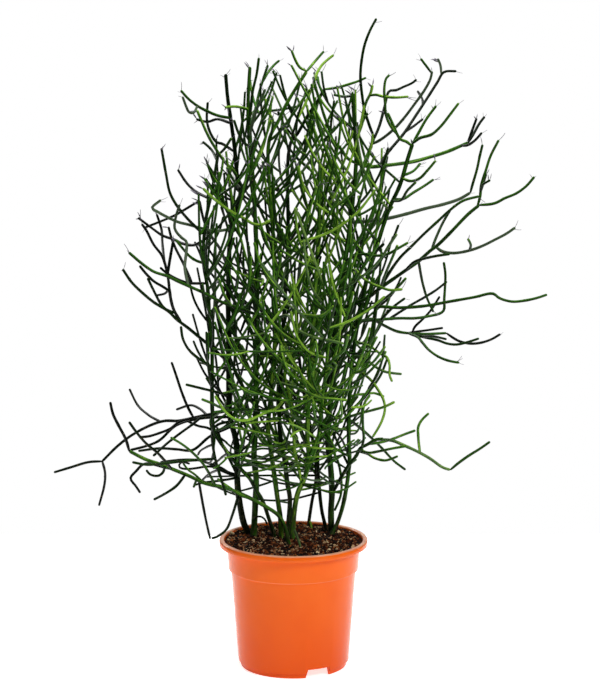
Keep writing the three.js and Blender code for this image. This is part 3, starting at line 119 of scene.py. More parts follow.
# Each twig: its name, what it grows from, the depth of its tip, its widths at root and tip, and the points
# (across, up) that it is seen to pass.
TWIGS = """
low_left_1 shoot_low_left -49 4.2 3.6 -187 250 -191 264 -199 280 -205 293 -208 307;
low_left_2 shoot_low_left -109 4 3.4 -138 231 -155 248 -167 258 -178 271 -187 284;
low_left_3 shoot_low_left -20 4 3.4 -139 231 -170 235 -179 227 -186 218 -180 209 -175 201;
low_left_4 shoot_low_left -73 3.8 3.2 -147 231 -149 225 -155 221 -164 223 -168 228;
low_left_5 shoot_low_left -84 4 3.4 -124 222 -134 209 -147 200 -160 193;
low_left_6 shoot_low_left -120 3.6 3.2 -88 209 -103 235 -117 250 -127 258 -140 266;
low_left_7 shoot_low_left -64 3.8 3.2 -63 201 -70 175 -77 158 -87 150 -94 147.5;
low_left_8 shoot_low_left -11 3.8 3.2 -108 214 -104 190 -100 168 -95.5 147;
low_left_9 shoot_low_left -56 3.6 3.2 -110 217 -114 208;
low_left_10 stem_left_outer 42 4.2 3.6 -72 290 -105 288 -133 280 -153 262 -167 256 -186 251;
low_left_11 stem_left_outer 11 4 3.4 -72 278 -95 267 -115 251 -133 252 -153 253 -177 250;
low_left_arch stem_left_outer 70 4.4 3.8 -72 297 -107 290 -131 285 -146 285 -160 281 -183 269 -200 256 -218
238;
low_left_12 low_left_arch 64 3.8 3.4 -218 238 -234 237 -254 231 -273.5 225;
low_left_13 low_left_arch 104 3.8 3.2 -218 238 -215 225 -216 210 -222.5 186;
low_left_14 low_left_arch -17 3.8 3.4 -112 290 -131 283 -140 276 -152 271 -165 267 -176 266;
low_left_15 low_left_arch -62 3.8 3.4 -104 291 -116 280 -131 269 -146 257 -160 244;
low_left_16 low_left_arch 25 4 3.4 -113 288 -120 301 -127 319 -133 338 -138 353;
low_left_17 low_left_arch 134 3.8 3.4 -98 292 -108 300 -118 303 -133 298;
low_left_18 stem_left_outer -48 4 3.4 -72 314 -94 320 -122 327;
low_left_19 stem_left_outer -81 3.8 3.4 -72 298 -84 301 -94 306 -104 310;
low_left_droop stem_left_outer -73 4 3.4 -72 284 -85 281 -92 274 -90 245 -84 223 -77 198;
low_left_20 low_left_droop -92 3.8 3.4 -90 240 -117 239 -153 235 -167 234 -184 237;
low_left_21 stem_far_left -70 3.8 3.4 -92 346 -110 359 -119 368 -125 380 -127 394;
low_left_22 low_left_arch 182 3.8 3.2 -150 284 -165 292 -178 305 -186 322;
mid_left_1 stem_left_outer -90 4.6 3.6 -73 352 -94 371 -107 382 -119 392 -132 402 -141 411 -157 421 -169 431
-182 444 -192 459;
mid_left_2 stem_mid_left -118 4.4 3.6 -21 400 -57 413 -82 422 -101 432 -130 445 -142 451 -157 456 -170 465
-185 478;
mid_left_3 mid_left_1 20 4.2 3.4 -128 399 -135 413 -139 430 -141 449 -147 473 -157 487 -165 503 -170 510;
mid_left_4 mid_left_3 -34 3.8 3.4 -139 433 -147 439 -157 445 -166 454 -173 463;
mid_left_5 mid_left_3 42 3.6 3.2 -138 427 -140 436 -145 431 -154 429;
mid_left_6 stem_far_left 11 4 3.4 -98 443 -122 444 -142 454 -150 461;
mid_left_7 stem_far_left 81 4.2 3.4 -99 492 -112 486 -125 488 -133 492 -147 497 -157 504 -174 517;
mid_left_8 stem_left_outer 118 4.2 3.6 -72 458 -83 483 -90 493 -100 513 -105 536;
mid_left_9 mid_left_8 129 3.8 3.4 -105 536 -115 530 -132 520 -148 513 -166 506;
mid_left_10 stem_left_outer -64 4.2 3.6 -69 503 -88 502 -103 505 -117 509 -129 512 -140 517 -151 523 -158 528
-148 537;
mid_left_11 mid_left_3 87 3.8 3.4 -145 467 -147 489 -148 505 -153 521;
mid_left_12 mid_left_6 50 3.8 3.4 -113 444 -124 466 -132 482 -137 495 -140 507;
mid_left_13 mid_left_2 -50 4 3.4 -118 440 -122 461 -120 480 -120 490 -126 495 -133 505 -131 520 -127 532;
mid_left_14 stem_far_left -84 3.8 3.4 -101 465 -108 468 -116 473 -124 482 -132 492;
mid_left_15 mid_left_3 -11 4.2 3.6 -141 450 -140 462 -135 490;
mid_left_16 mid_left_2 -154 3.8 3.4 -70 418 -78 430 -84 448;
mid_left_17 stem_far_left -48 4 3.4 -100 498 -115 512 -130 530 -138 545 -142 565 -147 595;
mid_left_18 stem_far_left 64 4 3.4 -95 538 -110 547 -120 557 -129 571;
mid_left_arc stem_mid_left -109 4.2 3.6 -24 516 -36 509 -45 510 -55 516 -70 524 -80 531 -92 541 -101 550;
mid_left_19 mid_left_3 -84 3.8 3.4 -133 408 -146 415 -158 436 -164 449;
up_left_1 stem_left_outer -28 4.2 3.4 -70.5 628 -84 631 -94 635 -107 642 -117 650 -125 659;
up_left_2 up_left_1 -64 3.6 3.2 -107 642 -111 634 -116 635 -119 641 -123 652;
up_left_3 stem_left_outer 67 4 3.4 -69 621 -85 627 -96 624 -108 627;
up_left_4 stem_left_outer -87 4.2 3.4 -62.5 562 -68 571 -76 579 -87 595 -95 609 -102 625 -107 637;
up_left_5 stem_left_outer 48 4 3.4 -65 592 -80 600 -85 601 -92 611 -96 625 -95 646;
up_left_6 stem_far_left -28 3.8 3.4 -84 586 -76 595 -69 606;
up_left_7 stem_far_left 48 3.8 3.4 -85 582 -92 594 -101 602;
up_left_8 stem_left_outer -126 3.8 3.4 -60 550 -68 561 -74 573;
up_left_9 stem_left_inner -62 4 3.4 -48 596 -55 601 -62 614 -66 626;
up_left_10 stem_left_inner -42 3.8 3.4 -50 636 -58 640 -66 641 -76 640;
top_left_1 stem_left_inner -36 4 3.4 -50 620 -47 640 -45 658 -40.5 677 -38 695;
top_left_2 stem_left_inner 48 4.2 3.4 -50 616 -42 638 -38 656 -33 672 -28 687;
top_left_3 top_left_2 73 3.6 3.2 -35 667 -27 680 -20 688 -15 692;
top_left_4 stem_left_inner -73 3.8 3.4 -48 608 -44 626 -40.5 638 -31 660;
top_left_5 stem_mid_left -42 3.8 3.4 -26 606 -23 627 -30 638 -31 650;
top_left_6 top_left_2 118 3.8 3.4 -43 634 -27 636 -11 638 4 641;
top_1 stem_mid_left 8 3.8 3.2 15 680 7.5 684 2.5 692 -2 703;
top_2 stem_mid_left 42 3.8 3.2 14 679 20 686 26 693 34 702;
top_3 stem_mid_left -48 4 3.4 -26 604 -18 610 -5 626 6 642 18.5 660;
top_4 stem_mid_dark 62 4 3.2 34 660 43 661 53 663 63 666 72 669 81 673;
top_5 stem_mid_dark 118 3.6 3.2 32 657 29 664 27 674;
top_arch stem_right_thick -56 4.4 3.4 70 577 60 584 53 594 44 604 39.5 617 34 632 30 645 26 658 22 674;
top_6 top_arch -36 3.6 3.2 22.5 672 32 687 41 695 45 698;
top_7 stem_right_thick 36 3.8 3.4 66 654 55 652 45 654;
top_8 stem_right_thick -48 4.2 3.6 69.5 603 76.5 622 77.5 633 81.5 647 86 656 88 665;
top_9 top_8 -73 3.8 3.2 85 654 92 654 100 652 115 651 128 652;
top_right_root stem_right_thick 56 4.8 4.2 66 545 78 575 90 606;
top_tall top_right_root 31 4.2 3.4 90 605 84 622 79 638 76.5 653 74.5 673 75.5 690 79 709 85 725 92 738;
top_10 top_right_root 92 4 3.4 89 602 96 620 102 643 106.5 658 114 659 123 663 132 667 137 671;
top_11 top_right_root 8 4 3.4 88 599 97 604 111 615 123 628 135 644 145 658 152 671 154 680;
top_12 top_11 0 3.6 3.2 153 677 148 685 141 694;
up_right_1 stem_right_thick 36 5.2 4.4 70 577 86 574 98 575 116 577 135 580 153 585 172 591 195 601;
up_right_2 up_right_1 20 3.8 3.4 194 600 198 611 204 628;
up_right_3 up_right_1 62 3.8 3.4 195 601 201 611 207 622 213 630;
up_right_4 up_right_1 -17 3.8 3.4 188 597 194 598 203 604 210 612;
up_right_5 up_right_1 129 4.2 3.6 95 574 104 588 123 611 135 629 148 649 160 668 167 679 181 680;
up_right_6 up_right_5 137 3.6 3.2 165 676 163 687 160 694;
up_right_7 up_right_5 165 3.6 3.2 144 643 143 650 138 658;
up_right_8 up_right_5 148 3.8 3.4 124 612 135 620 144 627;
up_right_9 stem_right_outer -25 4 3.4 133 600 138 609 148 627 159 642;
up_right_10 stem_right_outer -73 4.2 3.4 133 599 141 606 154 610 165 620 175 633 184 645;
up_right_11 stem_right_outer -62 4 3.4 132 598 126 602 119 605 111 621 105 634;
up_right_12 up_right_11 -92 3.8 3.2 116 608 108 620 103 632 102 645 101 660 103 672 107 676;
up_right_13 stem_right_outer -62 4 3.4 121 560 131 558 141 561 149 569 159 581;
up_right_14 stem_right_outer 22 3.8 3.4 122 563 135 570 142 578;
up_right_15 stem_right_outer -98 3.8 3.4 112 536 121 537 128 548 137 557;
up_right_16 stem_right_outer 6 3.8 3.4 113 539 123 538 134 545 147 553 157 560;
mid_right_1 stem_right_thick 87 5 4.2 62 511 84 513 105 516 126 521 147 527 168 532 186 538 198 545;
mid_right_2 mid_right_1 84 3.8 3.4 197 544 200 553 205 571 208 586 211 599;
mid_right_3 stem_right_thick -50 5.2 4.2 50 414 70 420 85 427 96 436 110 446 127 458 141 468 153 479 162 486
176 500 190 515 197 522 208 531;
mid_right_4 mid_right_3 -62 4 3.4 208 531 225 533 237 539 249 544 260 552 269.5 563;
mid_right_5 mid_right_3 -42 4 3.4 207 530 209 541 210 553 215 570 220 586 229 604;
mid_right_6 mid_right_5 -78 3.6 3.2 209.5 546 213 555 220 559;
mid_right_7 mid_right_5 -22 3.6 3.2 209.5 543 212 554 215.5 566;
mid_right_8 mid_right_3 -98 4.2 3.4 98 438 108 455 120 472 132 484 148 500 162 513 176 526 190 536 208 541;
mid_right_9 mid_right_3 20 3.8 3.4 155 481 162 499 169 514 176 526;
mid_right_10 mid_right_3 -87 4.2 3.4 160 485 167 479 180 477 198 480 212 485 226 492 239 499 249 506;
mid_right_11 mid_right_10 -112 3.6 3.2 198 480 199 487 196 493;
mid_right_12 mid_right_3 -115 3.8 3.4 125 457 136 467 148 471 162 474 176 476;
mid_right_13 mid_right_3 14 3.8 3.2 141 468 143 455 146 441 151 425 158 410;
mid_right_14 stem_right_outer 50 4.2 3.4 74 400 104 402 120 403 137 403 151 405 169 411 170 425 171 453 169
467;
mid_right_15 stem_right_outer -58 4.6 3.4 76 411 91 416 120 415 148 417 176 422 204 427 225 431 232 426 246
422 260 423 274 426 286 430;
mid_right_16 mid_right_14 109 3.8 3.4 108 402 134 419 148 427 162 436 173 445;
mid_right_17 mid_right_15 -129 3.8 3.4 94 416 101 424 110 431 120 441 127 449;
mid_right_18 stem_right_outer 53 3.8 3.4 84 453 95 463 104 480 113 496 118 509;
mid_right_19 stem_right_thick -87 4 3.4 58 468 78 476 92 474 106 476 117 482 129 489;
mid_right_20 mid_right_3 -140 3.8 3.4 98 438 103 452 110 469 117 486;
mid_right_21 stem_right_thick -134 3.8 3.4 56 455 69 458 77 450 87 443 99 438 110 435 123 436;
mid_right_22 mid_right_14 0 3.8 3.4 100 401 106 409 114 417 126 426;
low_right_1 stem_right_outer 92 4.4 3.6 74 400 89 402 100 396 117 388 129 386 148 385 173 386;
low_right_2 low_right_1 81 3.8 3.4 173 386 177 383 187 377 200 374 212 375 224 379 234 385;
low_right_3 low_right_1 39 3.8 3.4 129 386 149 381 163 378 174 374 185 373 198 376 210 380;
low_right_4 low_right_1 134 3.6 3.2 129 386 142 388 156 390 169 392;
low_right_5 low_right_3 -8 3.6 3.2 147 381 160 382 173 379;
low_right_6 low_right_1 -20 3.8 3.4 129 386 141 381 146 375 154 366 166 358 177 354 188 352;
low_right_7 low_right_1 62 3.6 3.2 134 386 137 393 145 401 155 412 165 428;
low_right_8 stem_right_outer -39 4 3.4 68 360 81 357 92 348 103 342 113 340 123 339;
low_right_9 stem_right_outer -92 3.8 3.2 72 376 88 370 99 362 106 358 109 349 109 338 112 330;
low_right_10 stem_right_outer -112 3.8 3.4 66 328 82 338 92 348 100 357;
low_right_11 stem_right_outer 42 4 3.4 64 296 78 309 89 323 99 338 106 356;
low_right_12 stem_right_outer -67 4 3.2 66 344 78 340 88 332 96 321 102 310 104 299 101 286 95 274 90 266;
low_right_13 stem_right_outer 73 3.8 3.4 64 313 71 315 82 316 92 317 103 313;
low_right_14 stem_right_outer -106 3.8 3.4 64 290 77 294 92 298 105 302 115 307;
low_right_15 stem_right_outer 92 4 3.4 63 288 78 275 89 265 102 252 115 238 128 228;
low_right_stem stem_right_thick -20 5 4.4 44 200 50 211 62 232 72 245 76 253 85 258 93 263 103 264;
low_right_16 low_right_stem -56 4.4 3.8 101 264 113 262 125 257 142 249 156 241 170 231 179 228;
low_right_17 low_right_16 -50 3.8 3.4 178 228 187 235 199 244 213 253 224 261;
low_right_18 low_right_16 -11 3.8 3.4 145 248 143 257 142 268 142 278 146 286 154 294;
low_right_19 low_right_stem 25 3.8 3.4 86 258 99 260 113 264 128 270 139 274;
low_right_20 low_right_stem -87 3.8 3.4 76 252 85 248 99 250 113 253 130 256;
low_right_21 low_right_stem -67 3.8 3.2 74 249 84 247 92 242 104 239 112 241 119 244;
low_right_22 low_right_stem -42 3.8 3.4 77 255 80 264 79 280 79 295 81 306 87 315;
low_right_droop stem_right_thick 50 3.8 3.2 40 256 50 240 54.7 216 54 198 47 180;
fork_left stem_mid_fork -8 4.6 3.6 10 212 6 230 2 245 0 274 -4 310 -10 342 -6 352 1.5 373 6 391 10 407;
fork_right stem_mid_fork -62 4.6 3.8 12 217 19 235 25 252 29 271 34 320 40 380 41 440;
mid_1 stem_mid_dark 8 3.8 3.2 -6 205 -7 213 -12.5 222 -17 226;
mid_2 fork_left -134 4 3.4 -1 300 -10 309 -19 300 -33 294 -51 286 -64 286 -77 295 -89 314;
mid_3 stem_mid_left -101 4 3.4 -28 296 -45 298 -64 298 -91 295;
mid_4 stem_mid_left -126 4 3.4 -24 326 -19 329 -2 325 16 318 27 313 40 311 61 309;
mid_5 stem_mid_left -134 4 3.4 -20 424 -4 417 9 408 20 406 34 407 46 417;
mid_6 stem_mid_left -104 4.2 3.4 -21 402 -6 406 4 391 21 382 44 377 57 374;
mid_7 stem_mid_left -70 3.8 3.4 -28 302 -19 300 -1 291 9 285;
mid_8 fork_right -84 3.8 3.4 29.5 274 41 277 56 285;
mid_9 fork_right -42 3.8 3.2 29 271 25 259 20 245;
mid_front fork_right -199 4.2 3.4 37 350 50 360 58 368 62 384;
mid_10 fork_right -98 3.8 3.4 29.5 275 24 291 22 306;
"""

# Loose ends at the soil and in the tangle at the lower left, in the same form as the twigs above.
LOOSE_TWIGS = """
foot_arch stem_left_inner 2 2.8 2.6 -44 167 -42.9 172.5 -37.2 173.2 -32.6 169.8 -30 164;
back_stub stem_back 56 3.6 3.2 18 169 20.1 164.6 20.7 158.7;
tangle_1 low_left_droop 45 3.4 2.8 -93 258 -100 254 -107 249 -109 245;
tangle_2 stem_far_left 55 3.6 3.2 -74 248 -80 244 -87 238 -92 235;
tangle_3 stem_left_outer 62 4 3.2 -64 223 -74 225 -82 230 -95 235 -107 239 -120 240 -136 239 -152 237;
tangle_4 stem_left_outer 40 3.6 2.8 -64 219 -82 227 -90 231 -98 232 -111 230 -123 229 -130 231 -130 235 -126
237 -118 235;
tangle_5 stem_left_outer -10 3.6 3 -64 220 -74 217 -87 215 -103 213 -114 210;
tangle_6 low_left_droop 48 3.6 3 -92 227 -98 222 -105 215;
tangle_7 stem_left_outer -36 4.2 3.6 -63 220 -60 231 -56 245 -51 256 -45 271 -40 276;
tangle_8 stem_left_outer 6 4 3.4 -63 220 -67 228 -74 243 -82 261 -87 278;
tangle_9 stem_left_inner 40 3.4 2.8 -38 234 -48 243 -61 249 -71 255 -78 261;
tangle_10 stem_far_left -16 3.4 2.8 -61 228 -54 221 -46 215;
tangle_11 shoot_low_left -52 3.8 3.2 -48 193 -61 199 -74 208 -81 213 -87 218;
tangle_12 low_left_arch 20 4 3.2 -88 293 -94 286 -93 276 -90 264 -91 253 -88 235 -84 220;
tangle_13 low_left_arch 30 3.6 3 -122 284 -108 279 -98 277 -91 273 -84 266 -75 259;
tangle_14 low_left_droop 64 3.4 2.8 -91 249 -96 236 -105 239 -115 240;
tangle_15 shoot_low_left -20 3.4 2.8 -103 214 -113 223 -120 228 -126 236;
"""

# How far the crown reaches: at each height, its left and right edge as seen, and its greatest depth.
CROWN = np.array((
    (185, -128, 70, 75), (262, -70, 84, 130), (300, -98, 92, 175), (360, -112, 106, 200),
    (430, -124, 120, 208), (520, -112, 130, 206), (590, -96, 112, 180), (640, -72, 84, 140),
    (690, -40, 50, 90),
), float)


def twig_rows(table: str) -> Iterator[TwigRow]:
    """Read a table of twigs.

    Args:
        table: The table, in which a semicolon ends each row.

    Returns:
        Its rows in turn, each with its points as one list.
    """
    for row in table.strip(";\n").split(";"):
        name, parent, *numbers = row.split()
        depth, root_width, tip_width, *flat = map(float, numbers)
        yield name, parent, depth, root_width, tip_width, flat


class Stock(Enum):
    """Which growth a branch belongs to."""

    STEM = "stem"
    TWIG = "twig"
    INNER = "inner"
    FINE = "fine"
    CROSSING = "crossing"


@dataclass(frozen=True)
class InnerRule:
    """How twigs fill the inside of the crown, with angles in radians and sizes in millimetres.

    A lift or a length is a least value and a spread. A span is the stretch of its parent, as shares of the
    length, that a twig may leave from.
    """

    stock: Stock
    seed: int
    count: int
    fan: float
    curl: float
    root_lift: Pair
    tip_lift: Pair
    span: Pair
    lengths: Pair
    fork_span: Pair
    fork_turn: float
    fork_lengths: Pair
    tries: int
    width: float
    tip_width: float
    lowest: float


INNER = InnerRule(
    Stock.INNER, seed=5, count=48, fan=2.1, curl=1.2, root_lift=(0.1, 0.6), tip_lift=(0.7, 0.75),
    span=(0.3, 0.96), lengths=(80, 130), fork_span=(0.4, 0.8), fork_turn=0.7, fork_lengths=(45, 60), tries=40,
    width=3.9, tip_width=3.4, lowest=262,
)
FINE_INNER = InnerRule(
    Stock.FINE, seed=23, count=210, fan=6.2, curl=1.0, root_lift=(0.35, 0.75), tip_lift=(0.95, 0.55),
    span=(0.22, 0.93), lengths=(70, 120), fork_span=(0.3, 0.85), fork_turn=0.9, fork_lengths=(40, 80),
    tries=24, width=3.3, tip_width=2.7, lowest=240,
)
CROSSING = InnerRule(
    Stock.CROSSING, seed=41, count=120, fan=6.2, curl=1.6, root_lift=(-0.5, 0.9), tip_lift=(-0.2, 1.0),
    span=(0.2, 0.6), lengths=(60, 110), fork_span=(0.3, 0.8), fork_turn=1.1, fork_lengths=(30, 50), tries=24,
    width=2.7, tip_width=2.1, lowest=188,
)


class Draws:
    """Draws in 0..1 that are the same at every run: a counter, with its bits mixed."""

    WORD = 0xFFFFFFFF
    STRIDE = 0x6D2B79F5

    def __init__(self, seed: int) -> None:
        """Start the row of draws at a seed."""
        self.state = seed & self.WORD

    def __call__(self) -> float:
        """Make the next draw.

        Returns:
            The draw.
        """
        self.state = (self.state + self.STRIDE) & self.WORD
        mixed = (self.state ^ (self.state >> 15)) * (self.state | 1) & self.WORD
        mixed ^= (mixed + ((mixed ^ (mixed >> 7)) * (mixed | 61) & self.WORD)) & self.WORD
        return (mixed ^ (mixed >> 14)) / (self.WORD + 1)


@dataclass(frozen=True)
class Eye:
    """The eye that the plant's layout is seen by, on the plane through the pot's axis that faces it."""

    across: float = 7.5
    depth: float = -2500.0
    up: float = 784.0

    def placed(self, flat: np.ndarray, depths: np.ndarray) -> np.ndarray:
        """Move points seen on the plane along their lines of sight.

        Args:
            flat: The points' (across, up).
            depths: The depth that each is moved to.

        Returns:
            The points in space.
        """
        share = (depths - self.depth) / -self.depth
        across = self.across + (flat[:, 0] - self.across) * share
        up = self.up + (flat[:, 1] - self.up) * share
        return np.column_stack([across, depths, up])

    def seen(self, points: np.ndarray) -> np.ndarray:
        """Return where points are seen on the plane.

        Args:
            points: The points in space.

        Returns:
            Each point's (across, up).
        """
        share = (points[:, 1] - self.depth) / -self.depth
        across = self.across + (points[:, 0] - self.across) / share
        up = self.up + (points[:, 2] - self.up) / share
        return np.column_stack([across, up])


@dataclass
class Branch:
    """A stem or a twig: its smooth line, its widths, and samples that clearances are measured between."""

    name: str
    node: str
    stock: Stock
    line: np.ndarray
    root_width: float
    tip_width: float
    root: np.ndarray
    samples: np.ndarray


@dataclass
class Habit:
    """The growth of the whole plant, stem by stem and twig by twig, by the same rules as its solids."""

    eye: Eye = Eye()
    foot_z: float = 112.0
    stem_sides: int = 6
    thick_twig: float = 4.1
    fine: int = 6
    stray: float = 1.2
    sample: float = 3.0
    neck: float = 0.6
    clearance: float = 1.0
    joint: float = 26.0
    reach: float = 12.0
    shift: float = 9.0
    bow: float = 11.0
    branches: list[Branch] = field(default_factory=list)
    samples: np.ndarray = field(default_factory=lambda: np.empty((0, 4)))
    owners: np.ndarray = field(default_factory=lambda: np.empty(0, object))

    def grow(self) -> None:
        """Grow every stem and twig that the solids have."""
        for row in STEMS:
            self.grow_stem(*row)
        for row in twig_rows(TWIGS):
            self.grow_twig(*row)
        self.grow_inner_twigs(INNER)

    def fill(self) -> None:
        """Grow what the solids leave out: the loose ends and the finest twigs."""
        for row in twig_rows(LOOSE_TWIGS):
            self.grow_twig(*row)
        for rule in (FINE_INNER, CROSSING):
            self.grow_inner_twigs(rule)

    @staticmethod
    def shares(row: np.ndarray) -> np.ndarray:
        """Return how far along its length each point of a row lies, from 0 to 1."""
        sums = np.concatenate([[0.0], np.cumsum(np.linalg.norm(np.diff(row, axis=0), axis=1))])
        return sums / sums[-1]

    def smooth(self, points: np.ndarray) -> np.ndarray:
        """Return a centripetal curve through points.

        Args:
            points: The points that it passes.

        Returns:
            The curve's points.
        """
        nothing = 1e-4
        padded = np.vstack([2 * points[0] - points[1], points, 2 * points[-1] - points[-2]])
        rows = []
        weights = np.arange(self.fine)[:, None] / self.fine
        for i in range(1, len(padded) - 2):
            x0, x1, x2, x3 = padded[i - 1 : i + 3]
            d0, d1, d2 = (float(((b - a) ** 2).sum()) ** 0.25 for a, b in ((x0, x1), (x1, x2), (x2, x3)))
            d1 = 1.0 if d1 < nothing else d1
            d0, d2 = (d1 if d < nothing else d for d in (d0, d2))
            t1 = ((x1 - x0) / d0 - (x2 - x0) / (d0 + d1) + (x2 - x1) / d1) * d1
            t2 = ((x2 - x1) / d1 - (x3 - x1) / (d1 + d2) + (x3 - x2) / d2) * d1
            square, cube = -3 * x1 + 3 * x2 - 2 * t1 - t2, 2 * x1 - 2 * x2 + t1 + t2
            rows.append(x1 + t1 * weights + square * weights**2 + cube * weights**3)
        return np.vstack([*rows, points[-1:]])

    def thinned(self, row: np.ndarray) -> np.ndarray:
        """Return the fewest of a row of points whose straight runs stay close to the whole row.

        Args:
            row: The points.

        Returns:
            Those that are kept.
        """
        start, run = row[0], row[-1] - row[0]
        place = np.clip(((row - start) @ run) / max(float(run @ run), 1e-12), 0, 1)[:, None]
        stray = np.linalg.norm(row - (start + run * place), axis=1)
        stray[[0, -1]] = 0
        at = int(stray.argmax())
        if stray[at] <= self.stray:
            return row[[0, -1]]
        return np.vstack([self.thinned(row[: at + 1]), self.thinned(row[at:])[1:]])

    def branch(self, name: str, node: str, stock: Stock, points: np.ndarray, widths: Pair) -> Branch:
        """Make a branch.

        Args:
            name: Its name.
            node: The stem that it belongs to.
            stock: Which growth it is.
            points: The points that it passes.
            widths: Its widths at its root and at its tip.

        Returns:
            The branch, with its samples.
        """
        line = self.smooth(points)
        coarse = self.thinned(line)
        sides = self.stem_sides if stock is Stock.STEM else 3 if widths[0] < self.thick_twig else 4
        turn = 2 * math.pi / sides
        corner = math.sqrt(turn / math.sin(turn))
        radii = (widths[0] + (widths[1] - widths[0]) * self.shares(coarse)) / 2 * corner
        if stock is not Stock.STEM:
            radii[0] *= self.neck
        rings = np.column_stack([coarse, radii])
        samples = []
        for here, there in zip(rings, rings[1:]):
            steps = math.ceil(np.linalg.norm(there[:3] - here[:3]) / self.sample)
            samples.append(here + (there - here) * (np.arange(steps) / steps)[:, None])
        return Branch(name, node, stock, line, *widths, coarse[0], np.vstack([*samples, rings[-1:]]))

    def keep(self, branch: Branch) -> None:
        """Add a branch to the plant, with its samples and the node that each belongs to.

        Args:
            branch: The branch.
        """
        self.branches.append(branch)
        self.samples = np.vstack([self.samples, branch.samples])
        self.owners = np.append(self.owners, [branch.node] * len(branch.samples))

    def gap_round(self, candidate: Branch) -> float:
        """Return the least gap from a branch to the plant, leaving out where it joins its own stem.

        Args:
            candidate: The branch.

        Returns:
            The gap.
        """
        mine = candidate.samples
        low, high = mine[:, :3].min(0) - self.reach, mine[:, :3].max(0) + self.reach
        near = ((self.samples[:, :3] >= low) & (self.samples[:, :3] <= high)).all(1)
        if not near.any():
            return math.inf
        others, theirs = self.samples[near], self.owners[near] == candidate.node
        apart = np.linalg.norm(mine[:, None, :3] - others[None, :, :3], axis=2)
        gaps = apart - mine[:, None, 3] - others[None, :, 3]
        at_root = np.linalg.norm(mine[:, :3] - candidate.root, axis=1) < self.joint
        gaps[at_root[:, None] & theirs[None, :]] = math.inf
        return float(gaps.min())

    def grow_stem(
        self, name: str, foot: float, top: float, depths: Sequence[float], flat: Sequence[float]
    ) -> None:
        """Grow one stem, with its foot straight down in the soil.

        Args:
            name: Its name.
            foot: Its width at its foot.
            top: Its width at its top.
            depths: Its depths from foot to top.
            flat: The points (across, up) that it is seen to pass.
        """
        path = np.array(flat, float).reshape(-1, 2)
        depth = np.interp(self.shares(path), np.linspace(0, 1, len(depths)), depths)
        points = self.eye.placed(path, depth)
        x, y, z = points[0]
        buried = [[x, y, self.foot_z], [x, y, (self.foot_z + z) / 2]]
        self.keep(self.branch(name, name, Stock.STEM, np.vstack([buried, points]), (foot, top)))

    def grow_twig(
        self, name: str, parent: str, tip_depth: float, root_width: float, tip_width: float, flat: list[float]
    ) -> None:
        """Grow one twig, shifted or bowed in depth until it passes clear.

        Args:
            name: Its name.
            parent: What it grows from.
            tip_depth: The depth of its tip.
            root_width: Its width at its root.
            tip_width: Its width at its tip.
            flat: The points (across, up) that it is seen to pass.
        """
        grown = next(each for each in self.branches if each.name == parent)
        path = np.array(flat, float).reshape(-1, 2)
        apart = np.linalg.norm(self.eye.seen(grown.samples[:, :3]) - path[0], axis=1)
        root = grown.samples[int(apart.argmin()), :3]
        path[0] = self.eye.seen(root[None, :])[0]
        share = self.shares(path)
        best, best_gap = None, -math.inf
        for shift, bow in self.shifts():
            depth = root[1] + (tip_depth + shift - root[1]) * np.sin(share * math.pi / 2)
            depth += bow * np.sin(share * math.pi)
            points = self.eye.placed(path, depth)
            candidate = self.branch(name, grown.node, Stock.TWIG, points, (root_width, tip_width))
            gap = self.gap_round(candidate)
            if gap > best_gap:
                best, best_gap = candidate, gap
            if gap >= self.clearance:
                break
        self.keep(best)

    def shifts(self) -> list[Pair]:
        """Return what a twig may do to pass clear, the least change first: shift its tip, or bow."""
        every = [(tip * self.shift, bow * self.bow) for tip in range(-8, 9) for bow in range(-3, 4)]
        return sorted(every, key=lambda each: (math.hypot(each[0], 1.5 * each[1]), each[0], each[1]))

    @staticmethod
    def sweep(root: np.ndarray, heading: float, swing: float, lifts: Pair, length: float) -> np.ndarray:
        """Return a row of points that sets out at a heading and a lift and turns to others on its way.

        Args:
            root: Where it starts.
            heading: The way it sets out, in radians round the vertical.
            swing: How far its heading turns on its way.
            lifts: Its lifts above the level at its root and at its tip.
            length: Its length.

        Returns:
            The points.
        """
        steps = 3
        points = [root]
        for k in range(steps):
            share = (k + 0.5) / steps
            lift = lifts[0] + (lifts[1] - lifts[0]) * share
            turn = heading + swing * share
            ahead = [math.cos(lift) * math.cos(turn), math.cos(lift) * math.sin(turn), math.sin(lift)]
            points.append(points[k] + np.array(ahead) * (length / steps))
        return np.array(points)

    def inside_crown(self, points: np.ndarray, lowest: float) -> bool:
        """Return whether every point lies inside the crown.

        Args:
            points: The points.
            lowest: How low they may be seen to lie.

        Returns:
            Whether they all do.
        """
        for (across, up), depth in zip(self.eye.seen(points), points[:, 1]):
            if not lowest <= up < CROWN[-1, 0]:
                return False
            left, right, reach = (np.interp(up, CROWN[:, 0], CROWN[:, i]) for i in (1, 2, 3))
            if not (left < across < right and abs(depth) < reach):
                return False
        return True

